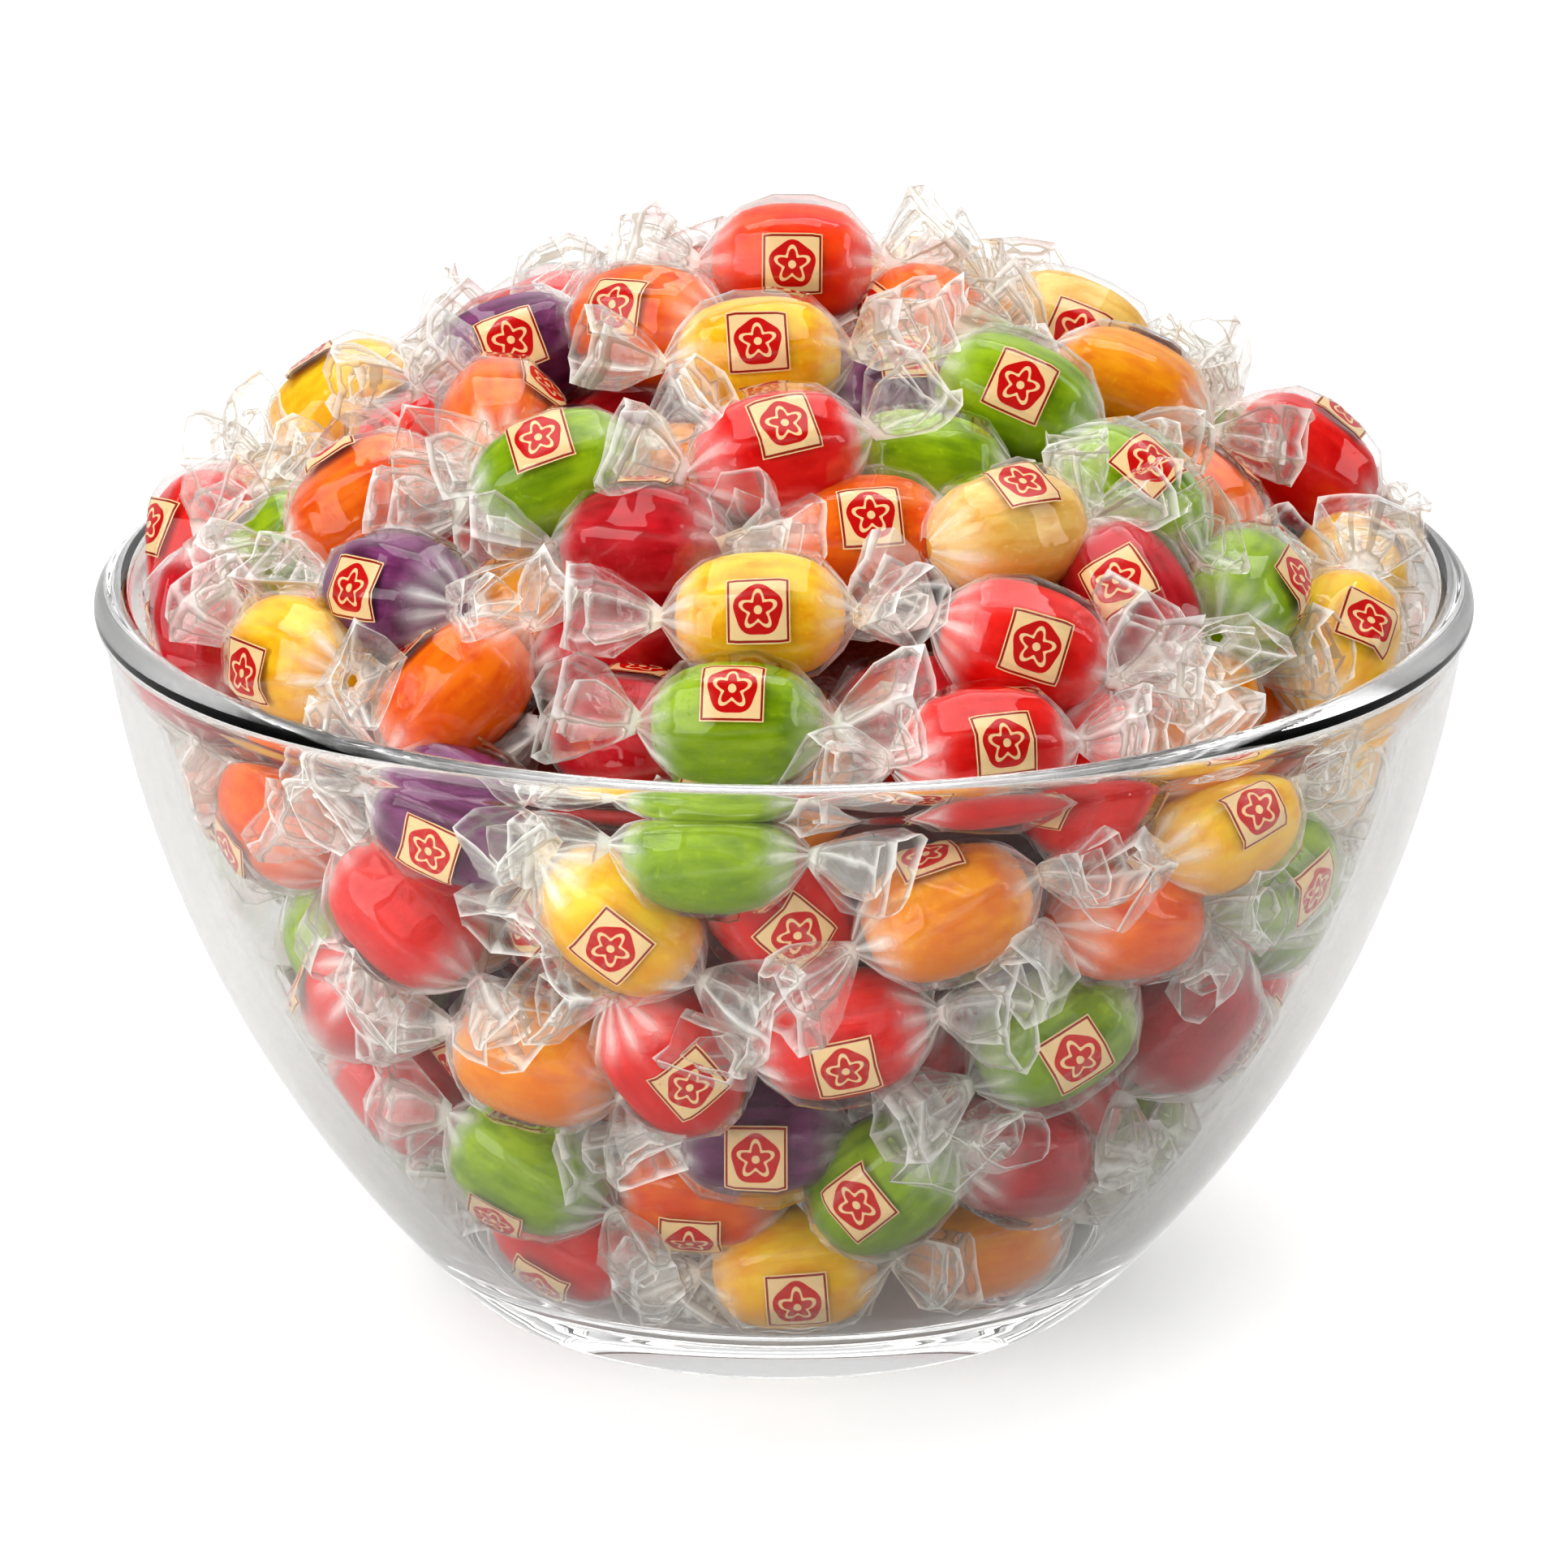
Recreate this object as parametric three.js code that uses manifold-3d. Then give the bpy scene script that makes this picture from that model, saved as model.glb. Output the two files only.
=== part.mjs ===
// A clear glass bowl heaped with twist-wrapped hard candies.
//
// Millimetres, +Z up. The origin is on the table, under the middle of the bowl, and -Y is the
// side that faces the viewer. Two nodes: the bowl, turned from one profile, and the heap, a plain
// core with the candies that show fused on to it. The candies are placed where they are seen from
// the front, scattered evenly over the rest of the heap, and then pushed apart until they rest
// against each other and the bowl.

import * as THREE from 'three';
import { mergeVertices } from 'three/addons/utils/BufferGeometryUtils.js';
import Module from 'manifold-3d';

// ---------------------------------------------------------------------------------------------
// Driving dimensions
// ---------------------------------------------------------------------------------------------

// The bowl's wall is one arc in section. It would stand upright a little above the rim.
const BOWL = {
  height: 91,
  wallArcRadius: 149.2,
  wallUprightHeight: 105.6,
  wallUprightRadius: 85.4,
  wall: 4.2,
  floor: 7.5,
  footEdge: 3, // radius of the foot's rounded outer edge
  floorFillet: 8, // radius of the corner inside, between floor and wall
  lipProud: 0.6, // how far the rounded lip stands out past the wall
  lipTuck: 0.6, // how far the lip's round goes on under its widest place, in radians
  lipSteps: 5,
  cornerSteps: 3,
  wallSteps: 6,
  segments: 40,
};

// The heap's surface falls from its peak to the rim along a power of the distance from the axis.
const HEAP = {
  peak: 131.5,
  fall: 41.5,
  fallRadius: 82,
  fallPower: 2.2,
  coreDepth: 9.5, // how far the plain core lies under the heap's surface
  coreSegments: 20,
  coreSteps: 5,
  gap: 0.8, // between the heap and the bowl's wall
  floorGap: 1.2,
  showDepth: 13.6, // a candy whose middle is deeper than this doesn't show in the solid
  wingShowDepth: 9.5,
  wingRoom: 1.9, // between a wing's middle and the next candy, for the wing to be in the solid
};

// A hard candy in a film wrapper twisted at both ends.
const CANDY = {
  diameter: 14.8,
  shoulder: 4.9, // from the middle to where the body starts to round off
  pinch: 11.4, // from the middle to the twist
  neck: 1.5, // radius of the twist
  wingLength: 11,
  wingWidth: 13.6,
  wingThickness: 9,
  wingLift: 0.4, // how far a wing is bent out of the heap, against its length
  sides: 5,
};

// Where the photographer stands: distance from the point looked at, its height, and the eye's
// angle above the table. A line of sight is followed by steps over this reach, before and behind.
const VIEW = { distance: 944, reach: 120, step: 0.5, aimHeight: 63.1, elevationDeg: 18.74 };

// The candies that are seen from the front. across and up are millimetres from the point looked
// at, in the plane through the bowl's axis that faces the eye; lean is the candy's long axis
// against the level, in degrees; depth is how far its middle lies under the heap's surface. One
// whose depth is less than ON_TOP stands proud of the rest.
const ON_TOP = 7.6;
const TUCKED = 13;
const BURIED = 19;
const SEEN = [
  // the mound above the rim
  { across: 1, up: 65, lean: 0, depth: 3 },
  { across: -3, up: 53, lean: 5, depth: ON_TOP },
  { across: 0, up: 40, lean: 25, depth: ON_TOP },
  { across: 29, up: 48, lean: -30, depth: ON_TOP },
  { across: -28, up: 38, lean: 15, depth: ON_TOP },
  { across: -34, up: 53, lean: 20, depth: ON_TOP },
  { across: -55, up: 47, lean: 45, depth: 5 },
  { across: 36, up: 56, lean: -10, depth: 6 },
  { across: 43, up: 48, lean: -60, depth: ON_TOP },
  { across: 65, up: 40, lean: -30, depth: 4 },
  { across: 63, up: 37, lean: -40, depth: ON_TOP },
  { across: 51, up: 35, lean: 80, depth: TUCKED },
  { across: 57, up: 23, lean: 50, depth: ON_TOP },
  { across: 69, up: 17, lean: 20, depth: ON_TOP },
  { across: 43, up: 23, lean: -75, depth: ON_TOP },
  { across: 30, up: 17, lean: -12, depth: ON_TOP },
  { across: 28, up: 31, lean: 25, depth: ON_TOP },
  { across: 10, up: 32, lean: 10, depth: TUCKED },
  { across: -3, up: 21, lean: 0, depth: ON_TOP },
  { across: -6, up: 7, lean: -3, depth: ON_TOP },
  { across: 17, up: 38, lean: 0, depth: TUCKED },
  { across: -18, up: 27, lean: -15, depth: TUCKED },
  { across: -22, up: 18, lean: 10, depth: BURIED },
  { across: -48, up: 23, lean: -30, depth: ON_TOP },
  { across: -60, up: 16, lean: -35, depth: ON_TOP },
  { across: -52, up: 35, lean: 10, depth: ON_TOP },
  { across: -63, up: 28, lean: -20, depth: TUCKED },
  { across: -75, up: 30, lean: 70, depth: 6 },
  { across: -44, up: 43, lean: 0, depth: TUCKED },
  { across: -33, up: 18, lean: 15, depth: BURIED },
  { across: -41, up: 11, lean: 60, depth: TUCKED },
  { across: -19, up: 7, lean: -20, depth: BURIED },
  { across: 25, up: 4, lean: 10, depth: ON_TOP },
  { across: 51, up: 6, lean: 10, depth: TUCKED },
  { across: 56, up: 12, lean: 40, depth: BURIED },
  // through the glass
  { across: -9, up: -7, lean: 0, depth: ON_TOP },
  { across: -40, up: -3, lean: -20, depth: ON_TOP },
  { across: -46, up: -15, lean: -35, depth: ON_TOP },
  { across: -20, up: -16, lean: -45, depth: ON_TOP },
  { across: 20, up: -15, lean: 20, depth: ON_TOP },
  { across: 42, up: -15, lean: -15, depth: ON_TOP },
  { across: 53, up: -2, lean: 10, depth: ON_TOP },
  { across: 62, up: -15, lean: 60, depth: ON_TOP },
  { across: -69, up: 0, lean: 20, depth: ON_TOP },
  { across: -54, up: -22, lean: -50, depth: TUCKED },
  { across: 7, up: -30, lean: 15, depth: ON_TOP },
  { across: 33, up: -30, lean: 25, depth: ON_TOP },
  { across: 49, up: -28, lean: 60, depth: ON_TOP },
  { across: -30, up: -33, lean: 0, depth: ON_TOP },
  { across: -20, up: -30, lean: 30, depth: BURIED },
  { across: -48, up: -36, lean: -60, depth: ON_TOP },
  { across: -31, up: -46, lean: -10, depth: ON_TOP },
  { across: -3, up: -43, lean: 0, depth: TUCKED },
  { across: 12, up: -48, lean: 65, depth: ON_TOP },
  { across: 28, up: -45, lean: -40, depth: ON_TOP },
  { across: -10, up: -49, lean: 0, depth: TUCKED },
  { across: -26, up: -54, lean: -20, depth: ON_TOP },
  { across: 1, up: -58, lean: 0, depth: ON_TOP },
  { across: 24, up: -55, lean: -20, depth: TUCKED },
  { across: 42, up: -43, lean: 70, depth: TUCKED },
  { across: 58, up: -28, lean: -70, depth: TUCKED },
];

// The rest of the heap is scattered by seeded throws: a top layer, then one in its gaps.
const SCATTER = {
  seed: 20,
  throws: 60000,
  skin: 1.5,
  layers: [{ depth: ON_TOP, apart: 17.5 }, { depth: TUCKED, apart: 16 }],
};

// How the candies are pushed apart.
const SETTLE = {
  rounds: 90,
  endReach: 4.1, // each end of a body is a ball this far from its middle
  endRadius: 5.5,
  middleRadius: 7.1,
  wingReach: 5.6, // each wing is a ball this far from its twist
  wingRadius: 3.6,
  hold: 0.12, // how strongly a seen candy keeps its place
  looseHold: 0.04, // and how strongly a scattered one does
  straighten: 0.12, // how strongly a wing keeps in line with its candy
};

// ---------------------------------------------------------------------------------------------
// Small helpers
// ---------------------------------------------------------------------------------------------

const radians = THREE.MathUtils.degToRad;
const point = (x, y, z) => new THREE.Vector3(x, y, z);

/** A repeatable stream of numbers from 0 to 1. */
function dice(seed) {
  let state = seed;
  return () => {
    state = (Math.imul(state, 1664525) + 1013904223) >>> 0;
    return state / 2 ** 32;
  };
}

// ---------------------------------------------------------------------------------------------
// The bowl's and the heap's surfaces
// ---------------------------------------------------------------------------------------------

const WALL_CENTRE_RADIUS = BOWL.wallUprightRadius - BOWL.wallArcRadius;

/** Radius of the wall's arc, moved inwards by inset, at a height. Above the arc it goes straight up. */
function wallRadius(height, inset) {
  const below = Math.max(0, BOWL.wallUprightHeight - height);
  return WALL_CENTRE_RADIUS + Math.sqrt((BOWL.wallArcRadius - inset) ** 2 - below ** 2);
}

/** Height of the heap's surface at a distance from the axis. */
function heapHeight(radius) {
  return HEAP.peak - HEAP.fall * (radius / HEAP.fallRadius) ** HEAP.fallPower;
}

/** How far a point stands out of the heap's surface; inside it the value is below zero. */
function outside(p) {
  const radius = Math.hypot(p.x, p.y);
  const below = Math.max(0, BOWL.wallUprightHeight - p.z);
  const wall = Math.hypot(radius - WALL_CENTRE_RADIUS, below)
    - (BOWL.wallArcRadius - BOWL.wall - HEAP.gap);
  const slope = (HEAP.fall * HEAP.fallPower / HEAP.fallRadius)
    * (radius / HEAP.fallRadius) ** (HEAP.fallPower - 1);
  const crown = (p.z - heapHeight(radius)) / Math.hypot(1, slope);
  const floor = BOWL.floor + HEAP.floorGap - p.z;
  return Math.max(wall, crown, floor);
}

/** Whether a spot lies no deeper than this under the heap's surface. */
const shows = (spot, depth) => outside(spot) > -depth;

/** The heap's outward direction at a point. */
function outward(p) {
  const step = 0.5;
  const along = (axis) => outside(p.clone().addScaledVector(axis, step))
    - outside(p.clone().addScaledVector(axis, -step));
  return point(along(point(1, 0, 0)), along(point(0, 1, 0)), along(point(0, 0, 1))).normalize();
}

// ---------------------------------------------------------------------------------------------
// Placing the candies
// ---------------------------------------------------------------------------------------------

/** A candy lying along the heap's surface at a place, turned as near to a direction as fits. */
function laidCandy(middle, direction, hold, proud = 0) {
  const away = outward(middle);
  const axis = direction.clone().addScaledVector(away, -direction.dot(away)).normalize();
  const wings = [axis.clone().negate(), axis.clone()];
  return { home: middle.clone(), homeAxis: axis.clone(), middle, axis, hold, proud, wings };
}

/** A candy seen from the front, found where the line of sight enters the heap at its depth. */
function seenCandy({ across, up, lean, depth }) {
  const rise = radians(VIEW.elevationDeg);
  const aim = point(0, 0, VIEW.aimHeight);
  const right = point(1, 0, 0);
  const upward = point(0, Math.sin(rise), Math.cos(rise));
  const eye = aim.clone().add(point(0, -Math.cos(rise), Math.sin(rise)).multiplyScalar(VIEW.distance));
  const target = aim.clone().addScaledVector(right, across).addScaledVector(upward, up);
  const sight = target.clone().sub(eye).normalize();
  let best = null;
  let least = Infinity;
  for (let along = -VIEW.reach; along < VIEW.reach && least > 0; along += VIEW.step) {
    const spot = eye.clone().addScaledVector(sight, VIEW.distance + along);
    const out = outside(spot) + depth;
    if (out < least) [best, least] = [spot, out];
  }
  const direction = right.multiplyScalar(Math.cos(radians(lean)))
    .addScaledVector(upward, Math.sin(radians(lean)));
  return laidCandy(best, direction, SETTLE.hold, Math.max(0, ON_TOP - depth));
}

/** Candies thrown at random into one layer of the heap, each kept only where it has room. */
function scatterCandies(candies, { depth, apart }, random) {
  const reach = HEAP.fallRadius;
  for (let i = 0; i < SCATTER.throws; i += 1) {
    const spot = point((2 * random() - 1) * reach, (2 * random() - 1) * reach, random() * HEAP.peak);
    const turn = 2 * Math.PI * random();
    const inLayer = Math.abs(outside(spot) + depth) < SCATTER.skin;
    if (inLayer && candies.every((candy) => candy.middle.distanceTo(spot) > apart)) {
      const direction = point(Math.cos(turn), Math.sin(turn), Math.sin(2 * turn));
      candies.push(laidCandy(spot, direction, SETTLE.looseHold));
    }
  }
}

/** Pushes overlapping candies apart, and keeps them in the bowl and near their places. */
function settle(candies) {
  const reaches = [-SETTLE.endReach, 0, SETTLE.endReach];
  const sizes = [SETTLE.endRadius, SETTLE.middleRadius, SETTLE.endRadius];
  const beads = (candy) => reaches.map((reach) => candy.middle.clone().addScaledVector(candy.axis, reach));
  const wingBead = (candy, side) => candy.middle.clone()
    .addScaledVector(candy.axis, (2 * side - 1) * CANDY.pinch)
    .addScaledVector(candy.wings[side], SETTLE.wingReach);
  for (let round = 0; round < SETTLE.rounds; round += 1) {
    const bodies = candies.map(beads);
    const wings = candies.map((candy) => [wingBead(candy, 0), wingBead(candy, 1)]);
    const ends = bodies.map((trio) => [trio[0].clone(), trio[2].clone()]);
    candies.forEach((candy, i) => {
      const push = [point(0, 0, 0), point(0, 0, 0), point(0, 0, 0)];
      const wingPush = [point(0, 0, 0), point(0, 0, 0)];
      candies.forEach((other, j) => {
        if (i === j || candy.middle.distanceTo(other.middle) > 2 * (CANDY.pinch + CANDY.wingLength)) return;
        for (let b = 0; b < 3; b += 1) {
          for (let a = 0; a < 3; a += 1) {
            const between = bodies[i][a].clone().sub(bodies[j][b]);
            const overlap = sizes[a] + sizes[b] - between.length();
            if (overlap > 0) push[a].addScaledVector(between.normalize(), overlap / 2);
          }
          for (let side = 0; side < 2; side += 1) {
            const between = wings[i][side].clone().sub(bodies[j][b]);
            const overlap = SETTLE.wingRadius + sizes[b] - between.length();
            if (overlap > 0) wingPush[side].addScaledVector(between.normalize(), overlap);
          }
        }
        for (let side = 0; side < 2; side += 1) {
          for (let facing = 0; facing < 2; facing += 1) {
            const between = wings[i][side].clone().sub(wings[j][facing]);
            const overlap = 2 * SETTLE.wingRadius - between.length();
            if (overlap > 0) wingPush[side].addScaledVector(between.normalize(), overlap / 2);
          }
        }
      });
      for (let end = 0; end < 2; end += 1) {
        const a = 2 * end;
        ends[i][end].addScaledVector(push[a], 0.5).addScaledVector(push[1], 0.5);
        const home = candy.home.clone().addScaledVector(candy.homeAxis, reaches[a]);
        ends[i][end].lerp(home, candy.hold);
        const out = outside(ends[i][end]) + sizes[a] - candy.proud;
        if (out > 0) ends[i][end].addScaledVector(outward(ends[i][end]), -out);
      }
      candy.middle = ends[i][0].clone().add(ends[i][1]).multiplyScalar(0.5);
      const out = outside(candy.middle) + sizes[1] - candy.proud;
      if (out > 0) candy.middle.addScaledVector(outward(candy.middle), -out);
      candy.axis = ends[i][1].clone().sub(ends[i][0]).normalize();
      for (let side = 0; side < 2; side += 1) {
        const straight = candy.axis.clone().multiplyScalar(2 * side - 1);
        const twist = candy.middle.clone().addScaledVector(straight, CANDY.pinch);
        const tip = wings[i][side].clone().add(wingPush[side]);
        const over = outside(tip) + SETTLE.wingRadius - candy.proud;
        if (over > 0) tip.addScaledVector(outward(tip), -over);
        candy.wings[side] = tip.sub(twist).normalize().lerp(straight, SETTLE.straighten).normalize();
      }
    });
  }
}

// ---------------------------------------------------------------------------------------------
// Solids
// ---------------------------------------------------------------------------------------------

/** Points on a rounded edge, from one direction to another. */
function edgePoints(centre, radius, from, to, steps) {
  return Array.from({ length: steps + 1 }, (_, i) => {
    const angle = from + (to - from) * (i / steps);
    return new THREE.Vector2(Math.cos(angle), Math.sin(angle)).multiplyScalar(radius).add(centre);
  });
}

/** A rounded corner from level ground, at a height, up to the wall's arc moved inwards by inset. */
function cornerPoints(ground, inset, radius, steps) {
  const height = ground + radius;
  const middle = wallRadius(height, inset + radius);
  const meets = Math.atan2(height - BOWL.wallUprightHeight, middle - WALL_CENTRE_RADIUS);
  return edgePoints(new THREE.Vector2(middle, height), radius, -Math.PI / 2, meets, steps);
}

/** Points up the wall's arc moved inwards by inset, from just above one height to another. */
function wallPoints(from, to, inset, steps) {
  return Array.from({ length: steps }, (_, i) => {
    const height = from + (to - from) * ((i + 1) / steps);
    return new THREE.Vector2(wallRadius(height, inset), height);
  });
}

/** A profile of radius and height turned round the vertical axis. */
function turned(profile, segments) {
  return new THREE.LatheGeometry(profile, segments).rotateX(Math.PI / 2);
}

/** The bowl: foot, wall, rounded lip, and back down the inside to the thick floor. */
function bowlGeometry() {
  const lipRadius = (BOWL.wall + BOWL.lipProud) / 2;
  const lipMiddle = new THREE.Vector2(
    wallRadius(BOWL.height, 0) + BOWL.lipProud - lipRadius,
    BOWL.height - lipRadius,
  );
  const wallTop = BOWL.height - 2 * lipRadius;
  const foot = cornerPoints(0, 0, BOWL.footEdge, BOWL.cornerSteps);
  const corner = cornerPoints(BOWL.floor, BOWL.wall, BOWL.floorFillet, BOWL.cornerSteps);
  return turned([
    new THREE.Vector2(0, 0),
    ...foot,
    ...wallPoints(foot[foot.length - 1].y, wallTop, 0, BOWL.wallSteps),
    ...edgePoints(lipMiddle, lipRadius, -BOWL.lipTuck, Math.PI, BOWL.lipSteps),
    ...wallPoints(corner[corner.length - 1].y, wallTop, BOWL.wall, BOWL.wallSteps).reverse(),
    ...corner.reverse(),
    new THREE.Vector2(0, BOWL.floor),
  ], BOWL.segments);
}

/** The heap's plain core: its surface moved inwards all round. */
function coreGeometry() {
  const depth = HEAP.coreDepth;
  const low = BOWL.floor + HEAP.floorGap + depth / 2;
  const side = [new THREE.Vector2(0, low), ...wallPoints(low, heapHeight(HEAP.fallRadius) - depth,
    BOWL.wall + HEAP.gap + depth, HEAP.coreSteps)];
  const edge = side[side.length - 1].x;
  const top = Array.from({ length: HEAP.coreSteps }, (_, i) => {
    const radius = edge * (1 - (i + 1) / HEAP.coreSteps);
    return new THREE.Vector2(radius, heapHeight(radius) - depth);
  });
  return turned([...side, ...top], HEAP.coreSegments);
}

/** Moves a point that would reach into the glass back to the heap's side of it. */
function keepOffGlass(p) {
  p.z = Math.max(p.z, BOWL.floor + HEAP.floorGap);
  const most = wallRadius(p.z, BOWL.wall + HEAP.gap);
  const shrink = Math.min(1, most / Math.hypot(p.x, p.y));
  p.x *= shrink;
  p.y *= shrink;
  return p;
}

/** A closed solid through a row of rings, each with a place, a direction and two half widths. */
function ringedGeometry(rings, sides, up) {
  const positions = [];
  const faces = [];
  rings.forEach((ring, r) => {
    const across = new THREE.Vector3().crossVectors(up, ring.aim).normalize();
    const over = new THREE.Vector3().crossVectors(ring.aim, across).normalize();
    for (let s = 0; s < sides; s += 1) {
      const angle = 2 * Math.PI * (s / sides);
      const p = ring.at.clone().addScaledVector(across, ring.wide * Math.cos(angle))
        .addScaledVector(over, ring.thick * Math.sin(angle));
      positions.push(...keepOffGlass(p));
      if (r === 0) continue;
      const [here, next] = [r * sides + s, r * sides + ((s + 1) % sides)];
      faces.push(here - sides, next - sides, next, here - sides, next, here);
    }
  });
  const last = (rings.length - 1) * sides;
  for (let s = 1; s < sides - 1; s += 1) faces.push(0, s + 1, s, last, last + s, last + s + 1);
  const geometry = new THREE.BufferGeometry();
  geometry.setAttribute('position', new THREE.Float32BufferAttribute(positions, 3));
  geometry.setIndex(faces);
  return geometry;
}

/** Whether a wing's middle is clear of every other candy's body. */
function hasRoom(spot, candy, candies) {
  return candies.every((other) => other === candy || [-1, 0, 1].every((step) => {
    const along = other.middle.clone().addScaledVector(other.axis, step * SETTLE.endReach);
    return along.distanceTo(spot) > CANDY.diameter / 2 + HEAP.wingRoom;
  }));
}

/** A wrapped candy: its body from twist to twist, and each wing that shows. */
function candyGeometry(candy, candies) {
  const ring = (reach, radius) => ({
    at: candy.middle.clone().addScaledVector(candy.axis, reach),
    aim: candy.axis,
    wide: radius,
    thick: radius,
  });
  const half = CANDY.diameter / 2;
  const rings = [ring(-CANDY.pinch, CANDY.neck), ring(-CANDY.shoulder, half), ring(CANDY.shoulder, half),
    ring(CANDY.pinch, CANDY.neck)];
  candy.wings.forEach((wing, side) => {
    const twist = rings[side ? rings.length - 1 : 0].at;
    const spot = twist.clone().addScaledVector(wing, SETTLE.wingReach);
    if (!shows(spot, HEAP.wingShowDepth) || !hasRoom(spot, candy, candies)) return;
    const aim = wing.clone().addScaledVector(outward(twist), CANDY.wingLift).normalize();
    const end = {
      at: twist.clone().addScaledVector(aim, CANDY.wingLength),
      aim: aim.multiplyScalar(2 * side - 1),
      wide: CANDY.wingWidth / 2,
      thick: CANDY.wingThickness / 2,
    };
    if (side) rings.push(end);
    else rings.unshift(end);
  });
  return ringedGeometry(rings, CANDY.sides, outward(candy.middle));
}

const wasm = await Module();
wasm.setup();

function toSolid(geometry) {
  const bare = geometry.clone();
  bare.deleteAttribute('normal');
  bare.deleteAttribute('uv');
  const merged = mergeVertices(bare, 1e-4);
  return new wasm.Manifold(new wasm.Mesh({
    numProp: 3,
    vertProperties: new Float32Array(merged.attributes.position.array),
    triVerts: new Uint32Array(merged.index.array),
  }));
}

function toGeometry(solid) {
  const mesh = solid.getMesh();
  const geometry = new THREE.BufferGeometry();
  geometry.setAttribute('position', new THREE.BufferAttribute(mesh.vertProperties, 3));
  geometry.setIndex(new THREE.BufferAttribute(mesh.triVerts, 1));
  geometry.computeVertexNormals();
  return geometry;
}

/** The core and the candies that show, as one solid with no loose scrap and no sealed hollow. */
function heapGeometry(candies) {
  const showing = candies.filter((candy) => shows(candy.middle, HEAP.showDepth));
  const pieces = [coreGeometry(), ...showing.map((candy) => candyGeometry(candy, showing))];
  const joined = pieces.map(toSolid).reduce((heap, piece) => heap.add(piece));
  const largest = joined.decompose().reduce((a, b) => (a.volume() > b.volume() ? a : b));
  return toGeometry(largest);
}

// ---------------------------------------------------------------------------------------------
// The part
// ---------------------------------------------------------------------------------------------

const candies = SEEN.map(seenCandy);
const random = dice(SCATTER.seed);
SCATTER.layers.forEach((layer) => scatterCandies(candies, layer, random));
settle(candies);

const glass = new THREE.MeshStandardMaterial({ color: 0xe3ebeb, roughness: 0.03, metalness: 0,
  transparent: true, opacity: 0.35 });
const sweets = new THREE.MeshStandardMaterial({ color: 0xe0762e, roughness: 0.25, metalness: 0 });

const bowl = new THREE.Mesh(bowlGeometry(), glass);
bowl.name = 'glass_bowl';

const heap = new THREE.Mesh(heapGeometry(candies), sweets);
heap.name = 'candy_heap';

const group = new THREE.Group();
group.add(bowl, heap);

export default group;
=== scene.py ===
"""A clear glass bowl heaped with twist-wrapped fruit candies, dressed around its solids.

Lengths are millimetres in the classes and metres once a mesh is made. The frame is that of the solids:
+Z up, the origin on the table under the middle of the bowl, and -Y towards the viewer.
"""

from __future__ import annotations

import logging
import math
from dataclasses import dataclass
from enum import Enum
from typing import Callable, Mapping, Sequence, Union

import bpy
import numpy as np
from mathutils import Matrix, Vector


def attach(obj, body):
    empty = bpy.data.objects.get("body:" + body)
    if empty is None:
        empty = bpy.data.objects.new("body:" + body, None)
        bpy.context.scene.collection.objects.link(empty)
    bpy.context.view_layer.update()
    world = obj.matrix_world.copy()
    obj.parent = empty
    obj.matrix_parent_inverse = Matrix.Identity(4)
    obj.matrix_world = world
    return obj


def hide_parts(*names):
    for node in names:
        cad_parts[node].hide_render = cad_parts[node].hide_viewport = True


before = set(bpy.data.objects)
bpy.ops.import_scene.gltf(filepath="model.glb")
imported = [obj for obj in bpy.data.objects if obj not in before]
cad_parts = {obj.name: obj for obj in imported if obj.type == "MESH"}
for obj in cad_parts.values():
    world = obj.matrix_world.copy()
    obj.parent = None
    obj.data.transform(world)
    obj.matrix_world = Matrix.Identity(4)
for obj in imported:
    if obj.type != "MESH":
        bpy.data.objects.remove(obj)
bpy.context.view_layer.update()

LOG = logging.getLogger("candy_bowl")
MM = 0.001
TINY = 1e-9
FULL_TURN = 2 * math.pi
SCREEN_GAMMA = 2.2
WHITE = (1.0, 1.0, 1.0)
Colour = tuple[float, float, float]
Span = tuple[float, float]
Points = np.ndarray
Setting = Union[float, int, bool, str, Sequence[float], "Wire"]


def linear(red: int, green: int, blue: int) -> Colour:
    """A colour read off a screen, 0 to 255 a channel, as the linear colour a shader takes."""
    return tuple((channel / 255.0) ** SCREEN_GAMMA for channel in (red, green, blue))


def unit(vectors: Points) -> Points:
    """Vectors scaled to a length of one."""
    return vectors / np.maximum(np.linalg.norm(vectors, axis=-1, keepdims=True), TINY)


def joined(*columns: float | Points) -> Points:
    """Columns side by side, as points are made of coordinates; a short one is spread over the rest."""
    return np.stack(np.broadcast_arrays(*columns), axis=-1)


def angles(count: int) -> Points:
    """So many angles, spread evenly over a full turn."""
    return np.linspace(0, FULL_TURN, count, endpoint=False)


class Dice:
    """A repeatable stream of numbers from 0 to 1."""

    FACTOR = 1664525
    STEP = 1013904223
    SIZE = 2**32

    def __init__(self, seed: int) -> None:
        """Starts the stream at a whole number; the same one gives the same stream."""
        self.state = seed

    def roll(self) -> float:
        """The next number."""
        self.state = (self.state * self.FACTOR + self.STEP) % self.SIZE
        return self.state / self.SIZE

    def spread(self, low: float, high: float) -> float:
        """The next number, stretched between two values."""
        return low + (high - low) * self.roll()

    def many(self, count: int, low: float = 0.0, high: float = 1.0) -> Points:
        """The next few numbers, each stretched between two values."""
        return np.array([self.spread(low, high) for _ in range(count)])

    def pick(self, choices: Sequence) -> object:
        """One of several choices."""
        return choices[int(self.roll() * len(choices))]


# ---------------------------------------------------------------------------------------------
# The forms that the heap and the bowl share with their solids
# ---------------------------------------------------------------------------------------------


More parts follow.
